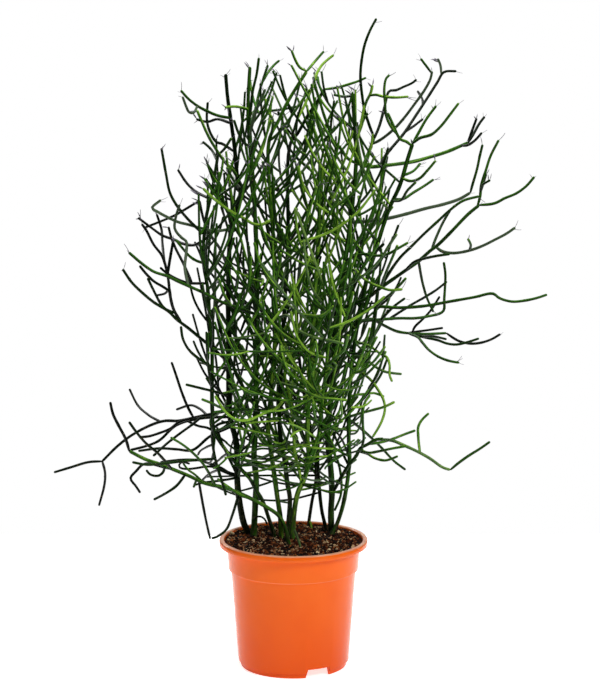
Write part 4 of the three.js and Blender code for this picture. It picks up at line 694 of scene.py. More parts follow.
    def grow_inner(
        self,
        name: str,
        parent: Branch,
        rule: InnerRule,
        span: Pair,
        facing: float,
        lengths: Pair,
        random: Draws,
    ) -> Branch | None:
        """Grow one twig inside the crown, drawn again until it lies in the crown and passes clear.

        Args:
            name: Its name.
            parent: What it grows from.
            rule: The rule that it follows.
            span: The stretch of its parent that it may leave from.
            facing: The middle of its headings.
            lengths: Its least length and the spread of it.
            random: The row of draws.

        Returns:
            The twig, or None where no try passed clear.
        """
        for _ in range(rule.tries):
            place, side, size, low, high, curl = (random() for _ in range(6))
            at = span[0] + (span[1] - span[0]) * place
            root = parent.samples[math.floor(at * (len(parent.samples) - 1)), :3]
            heading = facing + (side - 0.5) * rule.fan
            swing = (curl - 0.5) * rule.curl
            lifts = (rule.root_lift[0] + rule.root_lift[1] * low, rule.tip_lift[0] + rule.tip_lift[1] * high)
            points = self.sweep(root, heading, swing, lifts, lengths[0] + lengths[1] * size)
            if not self.inside_crown(points[1:], rule.lowest):
                continue
            candidate = self.branch(name, parent.node, rule.stock, points, (rule.width, rule.tip_width))
            if self.gap_round(candidate) >= self.clearance:
                self.keep(candidate)
                return candidate
        return None

    def grow_inner_twigs(self, rule: InnerRule) -> None:
        """Grow the twigs that fill the crown, each from one of the leading stems and with a fork.

        Args:
            rule: The rule that they follow.
        """
        random = Draws(rule.seed)
        leaders = [each for each in self.branches if each.name.startswith(("stem_", "fork_"))]
        for i in range(rule.count):
            facing = (1 if i % 2 == 0 else -1) * math.pi / 2
            name = f"{rule.stock.value}_{i}"
            leader = leaders[i % len(leaders)]
            twig = self.grow_inner(name, leader, rule, rule.span, facing, rule.lengths, random)
            if twig is not None:
                facing += rule.fork_turn if i % 4 < 2 else -rule.fork_turn
                forks = (rule.fork_span, facing, rule.fork_lengths)
                self.grow_inner(f"{name}_fork", twig, rule, *forks, random)


# Finishes

Value = float | tuple[float, ...] | str | bool | NodeSocket | Node
Adder = Callable[..., Node]
NOISE = ("Vector", "Scale", "Detail", "Roughness")


def linear(hex_value: str) -> tuple[float, float, float, float]:
    """Return an sRGB hex value as a linear colour with its alpha."""
    channels = [int(hex_value[i : i + 2], 16) / 255 for i in (0, 2, 4)]
    return (*(c / 12.92 if c <= 0.04045 else ((c + 0.055) / 1.055) ** 2.4 for c in channels), 1.0)


def add(
    tree: NodeTree,
    kind: str,
    inputs: dict[str | int, Value] | None = None,
    stops: Sequence[tuple[float, str]] = (),
    **settings: object,
) -> Node:
    """Add a node to a tree.

    Args:
        tree: The tree.
        kind: The node's type, without its first two words for a shader node.
        inputs: For each input, by its name or its place among those shown, its value or what links to it.
        stops: For a colour ramp, each stop's place and sRGB hex colour.
        settings: The node's own settings.

    Returns:
        The node.
    """
    node = tree.nodes.new(kind if "Node" in kind else f"ShaderNode{kind}")
    for name, value in settings.items():
        setattr(node, name, value)
    shown = [socket for socket in node.inputs if socket.enabled]
    for key, value in (inputs or {}).items():
        socket = shown[key] if isinstance(key, int) else next(each for each in shown if each.name == key)
        if isinstance(value, Node):
            value = next(each for each in value.outputs if each.enabled)
        if isinstance(value, NodeSocket):
            tree.links.new(value, socket)
        else:
            socket.default_value = value
    for i, (place, colour) in enumerate(stops):
        elements = node.color_ramp.elements
        element = elements[i] if i < 2 else elements.new(place)
        element.position = place
        element.color = linear(colour)
    return node


@dataclass(frozen=True)
class Finish:
    """What all finishes share: a name, and how their shader becomes a material."""

    name: str

    def make(self) -> Material:
        """Make the material.

        Returns:
            The material.
        """
        material = bpy.data.materials.new(self.name)
        material.use_nodes = True
        material.node_tree.nodes.clear()
        node = partial(add, material.node_tree)
        node("OutputMaterial", {"Surface": self.shader(node)})
        return material

    def shader(self, node: Adder) -> Node:
        """Add the finish's nodes and return the last of them."""
        raise NotImplementedError


@dataclass(frozen=True)
class WaxySkin(Finish):
    """Living stem skin, grown: a thin wax bloom over green tissue with fine lengthwise ribs.

    The tissue runs from black-green on old growth to yellow-green on young growth. Painted shade darkens
    branches far out, on the left and behind. On the front half the side that faces the light is painted
    lighter and the other side darker, and the back half is painted an even green. The wax gives a soft narrow
    sheen, and ribs and blotches break both into streaks.
    """

    name: str = "waxy_green_skin"
    black_green: str = "030602"
    deep: str = "0d2206"
    middle: str = "3a6f18"
    bright: str = "98c542"
    grey: str = "5c6f52"
    bark: str = "4d4636"
    scar: str = "75664a"
    roughness: float = 0.4
    ior: float = 1.42
    specular: float = 0.09
    rib_mm: float = 0.6
    rib_height_mm: float = 0.12
    streak_mm: float = 1.5
    streak_length_mm: float = 26.0
    blotch_mm: float = 20.0
    crack_mm: float = 1.1
    crack_length_mm: float = 5.5

    def shader(self, node: Adder) -> Node:
        """Add the nodes, which read the branches' own attributes.

        Args:
            node: What adds a node.

        Returns:
            The shader.
        """
        skin = node("Attribute", attribute_name="skin").outputs["Vector"]
        # The tone holds painted shade as well as the branch's own tone. The last two hold how far a face
        # turns to the light and to the back, for the painted light and shade.
        tone, youth, frost, age, scar, sunny, away = (
            node("Attribute", attribute_name=each).outputs["Fac"]
            for each in ("tone", "youth", "frost", "age", "scar", "sunny", "away")
        )
        drawn, split = (
            node("VectorMath", {0: skin, 1: (1, 1, width / length)}, operation="MULTIPLY")
            for width, length in (
                (self.streak_mm, self.streak_length_mm), (self.crack_mm, self.crack_length_mm),
            )
        )
        streaks, ribs, blotches, cracks = (
            node("TexNoise", dict(zip(NOISE, (place, 1 / (size * MM), *settings))))
            for place, size, *settings in (
                (drawn, self.streak_mm, 3.0, 0.65),
                (drawn, self.rib_mm, 2.0),
                (skin, self.blotch_mm, 3.0),
                (split, self.crack_mm, 4.0, 0.7),
            )
        )
        wander = node("MapRange", {0: blotches, 1: 0.3, 2: 0.7, 3: 0.75, 4: 1.25})
        streaky = node("MapRange", {0: streaks, 1: 0.3, 2: 0.72, 3: 0.6, 4: 1.55})
        # Painted light and shade: on the front half the side that faces the light is painted lighter and the
        # other side darker; the back half is painted an even green.
        side = node("MapRange", {0: sunny, 1: -0.7, 2: 0.9, 3: 0.3, 4: 1.35})
        front = node("Math", {0: tone, 1: side}, operation="MULTIPLY")
        back = node("Math", {0: tone, 1: 0.6, 2: 0.36}, operation="MULTIPLY_ADD")
        turned = node("MapRange", {0: away, 1: 0.05, 2: 0.5})
        green = node("Mix", {0: turned, 1: front, 2: back})
        for factor in (wander, streaky):
            green = node("Math", {0: green, 1: factor}, operation="MULTIPLY")
        stops = ((0.0, self.black_green), (0.25, self.deep), (0.6, self.middle), (1.0, self.bright))
        colour = node("ValToRGB", {0: green}, stops)
        pale = node("Math", {0: youth, 1: tone}, operation="MULTIPLY")
        pale = node("Math", {0: pale, 1: 0.35}, operation="MULTIPLY")
        crust = node("MapRange", {0: cracks, 1: 0.48, 2: 0.62})
        crust = node("Math", {0: crust, 1: age}, operation="MULTIPLY")
        coats = ((pale, self.middle), (frost, self.grey), (crust, self.bark), (scar, self.scar))
        for share, coat in coats:
            colour = node("Mix", {0: share, 1: colour, 2: linear(coat)}, data_type="RGBA")
        limits = {3: self.roughness - 0.07, 4: self.roughness + 0.1}
        rough = node("MapRange", {0: blotches, 1: 0.3, 2: 0.7, **limits})
        bump = node("Bump", {"Height": ribs, "Distance": self.rib_height_mm * MM, "Strength": 0.6})
        gloss = {"Roughness": rough, "IOR": self.ior, "Specular IOR Level": self.specular}
        return node("BsdfPrincipled", {"Base Color": colour, "Normal": bump, **gloss})


@dataclass(frozen=True)
class MouldedPolypropylene(Finish):
    """Orange polypropylene, injection moulded in a polished tool, so its skin is glossy.

    The gloss mirrors bright panels as soft strips and turns the edges pale, and a faint orange peel makes the
    strips waver. The colour clouds a little and is painted darker towards the foot, as painted shade. The lip
    carries a painted pale highlight and the collar step a thin one, broken up in patches.
    """

    name: str = "orange_moulded_polypropylene"
    orange: str = "f06815"
    deep: str = "e85c0c"
    # The colour of the painted shade towards the foot.
    dense: str = "d54c05"
    dust: str = "c99a78"
    # The colour of the painted highlight on the lip and the collar step.
    scuffed: str = "ffc8a2"
    roughness: float = 0.14
    ior: float = 1.49
    specular: float = 0.15
    peel_mm: float = 3.0
    peel_height_mm: float = 0.02
    cloud_mm: float = 45.0
    patch_mm: float = 18.0
    grit_mm: float = 1.6
    splash_mm: float = 30.0
    drawn_mm: float = 120.0
    lip_mm: float = 146.5
    collar_mm: float = 113.8

    def shader(self, node: Adder) -> Node:
        """Add the nodes, which read Object coordinates.

        Args:
            node: What adds a node.

        Returns:
            The shader.
        """
        place = node("TexCoord").outputs["Object"]
        clouds, grit, patches, peel = (
            node("TexNoise", dict(zip(NOISE, (place, 1 / (size * MM), *settings))))
            for size, *settings in (
                (self.cloud_mm, 2.0), (self.grit_mm, 4.0, 0.7), (self.patch_mm, 2.0), (self.peel_mm, 1.0),
            )
        )
        clouds = node("MapRange", {0: clouds, 1: 0.35, 2: 0.7, 3: 0.0, 4: 0.6})
        grit = node("MapRange", {0: grit, 1: 0.62, 2: 0.74})
        height = node("SeparateXYZ", {0: place}).outputs["Z"]
        low = node("MapRange", {0: height, 1: 0.0, 2: self.splash_mm * MM, 3: 0.4, 4: 0.0})
        marks = node("Math", {0: grit, 1: low}, operation="MULTIPLY")
        # Painted shade: the orange is painted darker towards the foot.
        drawn = node("MapRange", {0: height, 1: 0.0, 2: self.drawn_mm * MM, 3: 0.9, 4: 0.0})
        # Painted highlights: a pale band on the lip and a thin pale line at the collar step, broken up in
        # patches.
        limits = {1: self.lip_mm * MM, 2: (self.lip_mm + 1.4) * MM}
        lip = node("MapRange", {0: height, **limits, 3: 0.0, 4: 0.8})
        off = node("Math", {0: height, 1: self.collar_mm * MM}, operation="SUBTRACT")
        off = node("Math", {0: off}, operation="ABSOLUTE")
        collar = node("MapRange", {0: off, 1: 0.2 * MM, 2: 0.8 * MM, 3: 0.2, 4: 0.0})
        rubbed = node("MapRange", {0: patches, 1: 0.35, 2: 0.6, 3: 0.55, 4: 1.0})
        lip, collar = (node("Math", {0: each, 1: rubbed}, operation="MULTIPLY") for each in (lip, collar))
        colour = linear(self.orange)
        coats = ((clouds, self.deep), (drawn, self.dense), (marks, self.dust), (lip, self.scuffed))
        for share, coat in (*coats, (collar, self.scuffed)):
            colour = node("Mix", {0: share, 1: colour, 2: linear(coat)}, data_type="RGBA")
        limits = {3: self.roughness - 0.03, 4: self.roughness + 0.07}
        rough = node("MapRange", {0: patches, 1: 0.3, 2: 0.7, **limits})
        bump = node("Bump", {"Height": peel, "Distance": self.peel_height_mm * MM, "Strength": 0.3})
        gloss = {"Roughness": rough, "IOR": self.ior, "Specular IOR Level": self.specular}
        return node("BsdfPrincipled", {"Base Color": colour, "Normal": bump, **gloss})


@dataclass(frozen=True)
class Peat(Finish):
    """Milled peat, damp: dark red-brown crumbs, paler dry ones on top, and painted shade in the hollows."""

    name: str = "damp_milled_peat"
    dark: str = "080200"
    brown: str = "481a07"
    dry: str = "9a5628"
    crumb_mm: float = 2.2
    speck_mm: float = 0.8

    def shader(self, node: Adder) -> Node:
        """Add the nodes, which read Object coordinates.

        Args:
            node: What adds a node.

        Returns:
            The shader.
        """
        place = node("TexCoord").outputs["Object"]
        crumbs, specks = (
            node("TexNoise", dict(zip(NOISE, (place, 1 / (size * MM), *settings))))
            for size, *settings in ((self.crumb_mm, 4.0, 0.65), (self.speck_mm, 3.0))
        )
        # The colour follows the bump: paler dry crumbs on the tops, and painted shade darkening the hollows.
        colour = node("ValToRGB", {0: crumbs}, ((0.38, self.dark), (0.58, self.brown), (0.72, self.dry)))
        bits = node("MapRange", {0: specks, 1: 0.62, 2: 0.72, 3: 0.0, 4: 0.4})
        colour = node("Mix", {0: bits, 1: colour, 2: linear(self.dry)}, data_type="RGBA")
        bump = node("Bump", {"Height": crumbs, "Distance": 1.4 * MM, "Strength": 0.9})
        bump = node("Bump", {"Height": specks, "Distance": 0.4 * MM, "Strength": 0.7, "Normal": bump})
        gloss = {"Roughness": 0.93, "Specular IOR Level": 0.08}
        return node("BsdfPrincipled", {"Base Color": colour, "Normal": bump, **gloss})


@dataclass(frozen=True)
class Bark(Finish):
    """Shredded bark and coir, dry: flakes from near black to straw, each with a fibrous grain."""

    name: str = "shredded_bark_and_coir"
    dark: str = "140803"
    red: str = "552008"
    tan: str = "a45f2e"
    straw: str = "f0d3a4"
    fibre_mm: float = 0.7

    def shader(self, node: Adder) -> Node:
        """Add the nodes, which read each flake's own tone.

        Args:
            node: What adds a node.

        Returns:
            The shader.
        """
        place = node("TexCoord").outputs["Object"]
        tone = node("Attribute", attribute_name="tone").outputs["Fac"]
        stops = ((0.14, self.dark), (0.46, self.red), (0.74, self.tan), (0.97, self.straw))
        colour = node("ValToRGB", {0: tone}, stops)
        drawn = node("VectorMath", {0: place, 1: (1, 0.3, 1)}, operation="MULTIPLY")
        grain = node("TexNoise", {"Vector": drawn, "Scale": 1 / (self.fibre_mm * MM), "Detail": 3.0})
        shade = node("MapRange", {0: grain, 1: 0.4, 2: 0.7, 3: 0.0, 4: 0.5})
        colour = node("Mix", {0: shade, 1: colour, 2: linear(self.dark)}, data_type="RGBA")
        bump = node("Bump", {"Height": grain, "Distance": 0.25 * MM, "Strength": 0.8})
        gloss = {"Roughness": 0.8, "Specular IOR Level": 0.12}
        return node("BsdfPrincipled", {"Base Color": colour, "Normal": bump, **gloss})


@dataclass(frozen=True)
class DryLeaflet(Finish):
    """Short-lived tip leaves, drying: dull green at the foot, lilac-grey and then pale towards the point."""

    name: str = "drying_tip_leaf"
    green: str = "3c5424"
    lilac: str = "564c60"
    pale: str = "a39cab"
    vein_mm: float = 0.8

    def shader(self, node: Adder) -> Node:
        """Add the nodes, which read a leaf's tone and how far along it a point lies.

        Args:
            node: What adds a node.

        Returns:
            The shader.
        """
        along, tone = (
            node("Attribute", attribute_name=each).outputs["Fac"] for each in ("along", "tone")
        )
        dried = node("Math", {0: tone, 1: 0.4, 2: along}, operation="MULTIPLY_ADD")
        dried = node("Math", {0: dried, 1: 0.75}, operation="MULTIPLY")
        colour = node("ValToRGB", {0: dried}, ((0.1, self.green), (0.5, self.lilac), (1.0, self.pale)))
        place = node("TexCoord").outputs["Object"]
        veins = node("TexNoise", {"Vector": place, "Scale": 1 / (self.vein_mm * MM), "Detail": 2.0})
        shade = node("MapRange", {0: veins, 1: 0.4, 2: 0.7, 3: 0.0, 4: 0.3})
        colour = node("Mix", {0: shade, 1: colour, 2: linear(self.green)}, data_type="RGBA")
        bump = node("Bump", {"Height": veins, "Distance": 0.1 * MM, "Strength": 0.4})
        return node("BsdfPrincipled", {"Base Color": colour, "Roughness": 0.6, "Normal": bump})


@dataclass(frozen=True)
class PaperSweep(Finish):
    """Matt white paper, rolled out as a studio floor: it shows soft shadows and no gloss."""

    name: str = "matt_white_paper"
    white: str = "fbfbfb"
    lift: float = 0.72
    tooth_mm: float = 0.6

    def shader(self, node: Adder) -> Node:
        """Add the nodes, which read Object coordinates.

        Args:
            node: What adds a node.

        Returns:
            The shader.
        """
        place = node("TexCoord").outputs["Object"]
        tooth = node("TexNoise", {"Vector": place, "Scale": 1 / (self.tooth_mm * MM), "Detail": 2.0})
        bump = node("Bump", {"Height": tooth, "Distance": 0.02 * MM, "Strength": 0.2})
        white = {"Base Color": linear(self.white), "Emission Color": linear(self.white)}
        gloss = {"Roughness": 0.9, "Specular IOR Level": 0.1}
        return node("BsdfPrincipled", {**white, "Emission Strength": self.lift, "Normal": bump, **gloss})

# Geometry rules and pieces


def in_scene(name: str, data: Mesh | Light | Camera) -> Object:
    """Make an object of that name and data, in the scene.

    Args:
        name: The object's name.
        data: Its mesh, lamp or lens.

    Returns:
        The object.
    """
    made = bpy.data.objects.new(name, data)
    bpy.context.scene.collection.objects.link(made)
    return made


@dataclass
class Rule:
    """A Geometry Nodes tree that takes a geometry and a material with other named inputs, each of a kind."""

    name: str
    inputs: dict[str, str]
    tree: NodeTree = field(init=False)
    node: Adder = field(init=False)

    def __post_init__(self) -> None:
        """Make the tree with its inputs."""
        self.tree = bpy.data.node_groups.new(self.name, "GeometryNodeTree")
        sockets = self.tree.interface
        sockets.new_socket("Geometry", in_out="OUTPUT", socket_type="NodeSocketGeometry")
        for name, kind in {"Geometry": "Geometry", "Material": "Material", **self.inputs}.items():
            sockets.new_socket(name, in_out="INPUT", socket_type=f"NodeSocket{kind}")
        self.node = partial(add, self.tree)

    def taken(self, name: str) -> NodeSocket:
        """Return what the tree takes in by a name."""
        return self.node("NodeGroupInput").outputs[name]

    def end(self, geometry: Value, smooth: bool = True) -> None:
        """Close the tree: make the instances real, shade them and set the material.

        Args:
            geometry: What the tree has made.
            smooth: Whether its faces are shaded as one smooth surface.
        """
        real = self.node("GeometryNodeRealizeInstances", {0: geometry})
        shaded = self.node("GeometryNodeSetShadeSmooth", {"Geometry": real, "Shade Smooth": smooth})
        done = self.node("GeometryNodeSetMaterial", {"Geometry": shaded, "Material": self.taken("Material")})
        self.node("NodeGroupOutput", {0: done})

    def run(self, name: str, source: Mesh, values: dict[str, object]) -> Object:
        """Run the tree on a mesh.

        Args:
            name: The new piece's name.
            source: The mesh that the tree starts from.
            values: The inputs' values.

        Returns:
            The piece, a plain mesh with no modifier.
        """
        piece = in_scene(name, source)
        modifier = piece.modifiers.new(self.name, "NODES")
        modifier.node_group = self.tree
        for item in self.tree.interface.items_tree:
            if item.in_out == "INPUT" and item.name in values:
                modifier[item.identifier] = values[item.name]
        graph = bpy.context.evaluated_depsgraph_get()
        grown = piece.evaluated_get(graph)
        mesh = bpy.data.meshes.new_from_object(grown, preserve_all_data_layers=True, depsgraph=graph)
        piece.modifiers.remove(modifier)
        piece.data = mesh
        mesh.name = name
        return piece


def point_mesh(
    name: str, points: np.ndarray, edges: Sequence[tuple[int, int]], values: dict[str, np.ndarray]
) -> Mesh:
    """Make a mesh of points and edges that carry values.

    Args:
        name: The mesh's name.
        points: The points, in millimetres.
        edges: Pairs of points that are joined.
        values: The points' numbers or vectors, by name.

    Returns:
        The mesh, in metres.
    """
    mesh = bpy.data.meshes.new(name)
    mesh.from_pydata((points * MM).tolist(), edges, [])
    for key, rows in values.items():
        kind, item = ("FLOAT", "value") if rows.ndim == 1 else ("FLOAT_VECTOR", "vector")
        mesh.attributes.new(key, kind, "POINT").data.foreach_set(item, rows.astype(np.float32).ravel())
    return mesh


def meshed(name: str, built: BMesh, crease_deg: float | None = None) -> Mesh:
    """Turn finished mesh work into a mesh.

    Args:
        name: The mesh's name.
        built: The mesh work, which is freed.
        crease_deg: The angle from which an edge stays sharp, or None for no smooth face.

    Returns:
        The mesh.
    """
    if crease_deg is not None:
        for face in built.faces:
            face.smooth = True
        for edge in built.edges:
            edge.smooth = len(edge.link_faces) == 2 and edge.calc_face_angle(0) < math.radians(crease_deg)
    mesh = bpy.data.meshes.new(name)
    built.to_mesh(mesh)
    built.free()
    return mesh


def seat(piece: Object, slot: str, *nodes: str) -> None:
    """Make a finished piece ride on the body, in place of the nodes that it stands for.

    Args:
        piece: The piece.
        slot: Not used.
        nodes: The nodes that it stands for.
    """
    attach(piece, BODY)
    if nodes:
        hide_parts(*nodes)
    LOG.info("%s: %d triangles", piece.name, sum(len(face.vertices) - 2 for face in piece.data.polygons))


# Plant

# How bright a branch's green is, where the photograph's plant has it brighter or darker than its place in the
# crown: partly the branch's own tone and partly painted light and shade.
TONES: dict[str, float] = {
    "mid_left_arc": 1.1, "mid_5": 0.85, "mid_6": 0.95, "mid_2": 0.95, "mid_4": 0.7, "mid_front": 0.85,
    "fork_left": 0.9, "fork_right": 0.6, "stem_mid_fork": 0.62, "stem_mid_left": 0.55, "shoot_low_left": 0.42,
    "mid_right_14": 0.3, "mid_right_21": 0.8, "mid_right_20": 0.7, "low_right_9": 0.75, "top_3": 0.8,
    "up_left_4": 0.6, "mid_left_16": 0.7, "stem_left_inner": 0.36, "stem_left_outer": 0.14,
    "stem_mid_dark": 0.2, "stem_right_thick": 0.3, "stem_right_outer": 0.34, "stem_right_thin": 0.18,
    "stem_far_left": 0.25, "stem_back": 0.16, "shoot_front": 0.55, "low_left_7": 0.1, "low_left_8": 0.04,
    "foot_arch": 0.05, "back_stub": 1.3, "mid_right_2": 0.3, "mid_right_3": 0.3, "mid_right_4": 0.36,
    "tangle_11": 0.5, "tangle_12": 0.3, "tangle_15": 0.4,
}
FROSTED: dict[str, float] = {
    "mid_left_10": 0.85, "mid_right_1": 0.45, "mid_right_10": 0.5, "low_right_8": 0.4, "mid_7": 0.5,
    "shoot_front": 0.6,
}
# How wide a limb is against its solid.
SLIMNESS: dict[Stock, float] = {
    Stock.STEM: 0.9, Stock.TWIG: 0.86, Stock.INNER: 0.78, Stock.FINE: 0.92, Stock.CROSSING: 1.0,
}


@dataclass
class Plant:
    """Every stem with its twigs, as round, jointed, blunt-tipped limbs with their leaf scars.

    The skin's pattern starts on each branch at a place of its own, up to apart_m from another's.
    """

    habit: Habit
    ring_mm: float = 3.2
    sides: int = 10
    neck_mm: float = 9.0
    scar_spacing_mm: float = 13.0
    scar_mm: float = 0.55
    scarred_mm: float = 1.4
    skin_radius_mm: float = 2.0
    apart_m: float = 3.0
    joint_mm: float = 38.0
    swelling: float = 0.08
    swelling_mm: float = 2.6
    unevenness: float = 0.025
    wave_mm: float = 7.0
    frosted_share: float = 0.07
    crown_mm: float = 240.0
    bark_top_mm: float = 232.0
    bark_fade_mm: float = 80.0
    tone_seed: int = 3
    # The way of the light that is painted on the skin, and the way of the back half that is painted an even
    # green.
    light_way: Triple = (0.38, -0.5, 0.78)
    back_way: Triple = (0, 1, 0)

    def make(self) -> None:
        """Make one piece for each stem."""
        rule = self.limb_rule()
        values = {
            "Material": WaxySkin().make(),
            "Sides": self.sides,
            "Scar Spacing": self.scar_spacing_mm * MM,
            "Scar Size": self.scar_mm * MM,
            "Scarred Girth": self.scarred_mm * MM,
            "Skin Radius": self.skin_radius_mm * MM,
        }
        for node, *_ in STEMS:
            seat(rule.run(f"{node}_limbs", self.lines(node), values), "plant", node)

    def lines(self, node: str) -> Mesh:
        """Return the centre lines of a stem and its twigs, with what the skin reads.

        Args:
            node: The stem's name.

        Returns:
            The lines, as a mesh of edges.
        """
        random = Draws(self.tone_seed + sum(map(ord, node)))
        rows = [self.rings(branch, random) for branch in self.habit.branches if branch.node == node]
        table = np.vstack(rows)
        ends = set((np.cumsum([len(each) for each in rows]) - 1).tolist())
        edges = [(i, i + 1) for i in range(len(table)) if i not in ends]
        names = ("girth", "reach", "tone", "youth", "frost", "age", "mark")
        return point_mesh(f"{node}_lines", table[:, :3], edges, dict(zip(names, table[:, 3:].T)))

    def rings(self, branch: Branch, random: Draws) -> np.ndarray:
        """Return a branch's rings.

        Args:
            branch: The branch.
            random: The row of draws for its colour.

        Returns:
            A row for each ring: its middle in millimetres, its radius and how far along the branch it lies
            in metres, tone, youth, frost, age, and a mark of the branch's own.
        """
        is_stem = branch.stock is Stock.STEM
        share = Habit.shares(branch.line)
        length = float(np.linalg.norm(np.diff(branch.line, axis=0), axis=1).sum())
        steps = max(6, math.ceil(length / self.ring_mm))
        blunt = branch.tip_width / 2
        tip = length - blunt * np.array([0.75, 0.5, 0.28, 0.1, 0.02])
        along = np.append(np.linspace(0, length - blunt * 1.1, steps), tip)
        middle = np.column_stack([np.interp(along / length, share, branch.line[:, i]) for i in range(3)])
        radius = (branch.root_width + (branch.tip_width - branch.root_width) * along / length) / 2
        radius *= SLIMNESS[branch.stock]
        if not is_stem:
            grown = np.clip(along / self.neck_mm, 0, 1)
            radius *= self.habit.neck + (1 - self.habit.neck) * np.sqrt(grown)
        first, apart = self.joint_mm * (0.7 + 0.5 * random()), self.joint_mm * (1 + 0.7 * random())
        joints = np.arange(first, length - 12, apart)
        radius *= 1 + sum(self.swelling * np.exp(-(((along - at) / self.swelling_mm) ** 2)) for at in joints)
        radius *= 1 + self.unevenness * np.sin(along / self.wave_mm + 6 * random())
        left = np.clip((length - along) / blunt, 0, 1)
        radius *= np.sqrt(1 - (1 - left) ** 2)
        every = np.ones(len(along))
        # The tone holds painted shade as well as the branch's own tone.
        tone = self.tone(branch, random)
        youth = np.clip(along / length, 0, 1) * (not is_stem)
        frost = FROSTED.get(branch.name, 0.5 if random() < self.frosted_share else 0)
        age = np.clip((self.bark_top_mm - middle[:, 2]) / self.bark_fade_mm, 0, 1) * is_stem
        marks = (tone * every, youth, frost * every, age, random() * every)
        return np.column_stack([middle, radius * MM, along * MM, *marks])

    def tone(self, branch: Branch, random: Draws) -> float:
        """Return how bright a branch's green is, with painted shade further out, most on the left, and
        behind.

        Args:
            branch: The branch.
            random: The row of draws.

        Returns:
            From 0, black-green, to 1, yellow-green.
        """
        own = TONES.get(branch.name)
        draw = random()
        if own is not None:
            return own
        # Painted shade: darker further out, most of all on the left, and behind; the draw gives each branch
        # its own tone.
        middle = branch.line[len(branch.line) // 2]
        outward = min(math.hypot(middle[0], 0.6 * middle[1]) / self.crown_mm, 1)
        behind = min(max(middle[1] / 130, -0.8), 1)
        darker = 1.0 if middle[0] < 0 else 0.5
        return max(0.62 - darker * outward - 0.3 * behind, 0.03) * (0.45 + 1.1 * draw)

    def limb_rule(self) -> Rule:
        """Return the rule that turns lines into round limbs with leaf scars.

        Returns:
            The rule.
        """
        sizes = ("Scar Spacing", "Scar Size", "Scarred Girth", "Skin Radius")
        rule = Rule("jointed_limbs", {"Sides": "Int", **dict.fromkeys(sizes, "Float")})
        node = rule.node
        curve = node("GeometryNodeMeshToCurve", {0: rule.taken("Geometry")})
        girth, mark, reach = (
            node("GeometryNodeInputNamedAttribute", {"Name": name})
            for name in ("girth", "mark", "reach")
        )
        circle = node("GeometryNodeCurvePrimitiveCircle", {"Resolution": rule.taken("Sides"), "Radius": 1.0})
        place = node("GeometryNodeInputPosition")
        inputs = {"Geometry": circle, "Name": "round", "Value": place}
        profile = node("GeometryNodeStoreNamedAttribute", inputs, data_type="FLOAT_VECTOR")
        inputs = {"Curve": curve, "Profile Curve": profile, "Scale": girth, "Fill Caps": True}
        limbs = node("GeometryNodeCurveToMesh", inputs)
        round_way = node("GeometryNodeInputNamedAttribute", {"Name": "round"}, data_type="FLOAT_VECTOR")
        inputs = {"Vector": round_way, "Scale": rule.taken("Skin Radius")}
        wrapped = node("VectorMath", inputs, operation="SCALE")
        onward = node("Math", {0: mark, 1: self.apart_m, 2: reach}, operation="MULTIPLY_ADD")
        lengthwise = node("CombineXYZ", {"Z": onward})
        skin = node("VectorMath", {0: wrapped, 1: lengthwise}, operation="ADD")
        inputs = {"Geometry": limbs, "Name": "skin", "Value": skin}
        limbs = node("GeometryNodeStoreNamedAttribute", inputs, data_type="FLOAT_VECTOR")
        # For the painted light and shade: how far each face turns to the light, and how far to the back.
        outward = node("GeometryNodeInputNormal")
        for name, way in (("sunny", self.light_way), ("away", self.back_way)):
            facing = node("VectorMath", {0: outward, 1: way}, operation="DOT_PRODUCT")
            inputs = {"Geometry": limbs, "Name": name, "Value": facing}
            limbs = node("GeometryNodeStoreNamedAttribute", inputs)
        joined = node("GeometryNodeJoinGeometry", {0: self.scars(rule, curve, girth)})
        rule.tree.links.new(limbs.outputs[0], joined.inputs[0])
        rule.end(joined)
        return rule

    @staticmethod
    def scars(rule: Rule, curve: Node, girth: Node) -> Node:
        """Add the leaf scars, wound up each limb by the golden angle.

        Args:
            rule: The rule that they are part of.
            curve: The limbs' centre lines.
            girth: A limb's radius.

        Returns:
            The scars, as instances.
        """
        node = rule.node
        inputs = {"Curve": curve, "Length": rule.taken("Scar Spacing")}
        kept = node("GeometryNodeResampleCurve", inputs, mode="LENGTH")
        tangent = node("GeometryNodeInputTangent")
        normal = node("GeometryNodeInputNormal")
        aside = node("VectorMath", {0: tangent, 1: normal}, operation="CROSS_PRODUCT")
        golden_angle = 2.4
        turn = node("Math", {0: node("GeometryNodeInputIndex"), 1: golden_angle}, operation="MULTIPLY")
        cosine, sine = (node("Math", {0: turn}, operation=each) for each in ("COSINE", "SINE"))
        one, other = (
            node("VectorMath", {"Vector": way, "Scale": share}, operation="SCALE")
            for way, share in ((normal, cosine), (aside, sine))
        )
        outward = node("VectorMath", {0: one, 1: other}, operation="ADD")
        for name, value in (("outward", outward), ("upward", tangent)):
            inputs = {"Geometry": kept, "Name": name, "Value": value}
            kept = node("GeometryNodeStoreNamedAttribute", inputs, data_type="FLOAT_VECTOR")
        outward, upward = (
            node("GeometryNodeInputNamedAttribute", {"Name": name}, data_type="FLOAT_VECTOR")
            for name in ("outward", "upward")
        )
        offset = node("VectorMath", {"Vector": outward, "Scale": girth}, operation="SCALE")
        moved = node("GeometryNodeSetPosition", {"Geometry": kept, "Offset": offset})
        pad = node("GeometryNodeMeshIcoSphere", {"Radius": 1.0, "Subdivisions": 1})
        stood = node("FunctionNodeAlignRotationToVector", {"Vector": outward}, axis="Z")
        inputs = {"Rotation": stood, "Vector": upward}
        turned = node("FunctionNodeAlignRotationToVector", inputs, axis="X", pivot_axis="Z")
        inputs = {0: girth, 1: rule.taken("Scarred Girth")}
        thick = node("FunctionNodeCompare", inputs, operation="GREATER_THAN")
        inputs = {"Vector": (1.5, 0.9, 0.4), "Scale": rule.taken("Scar Size")}
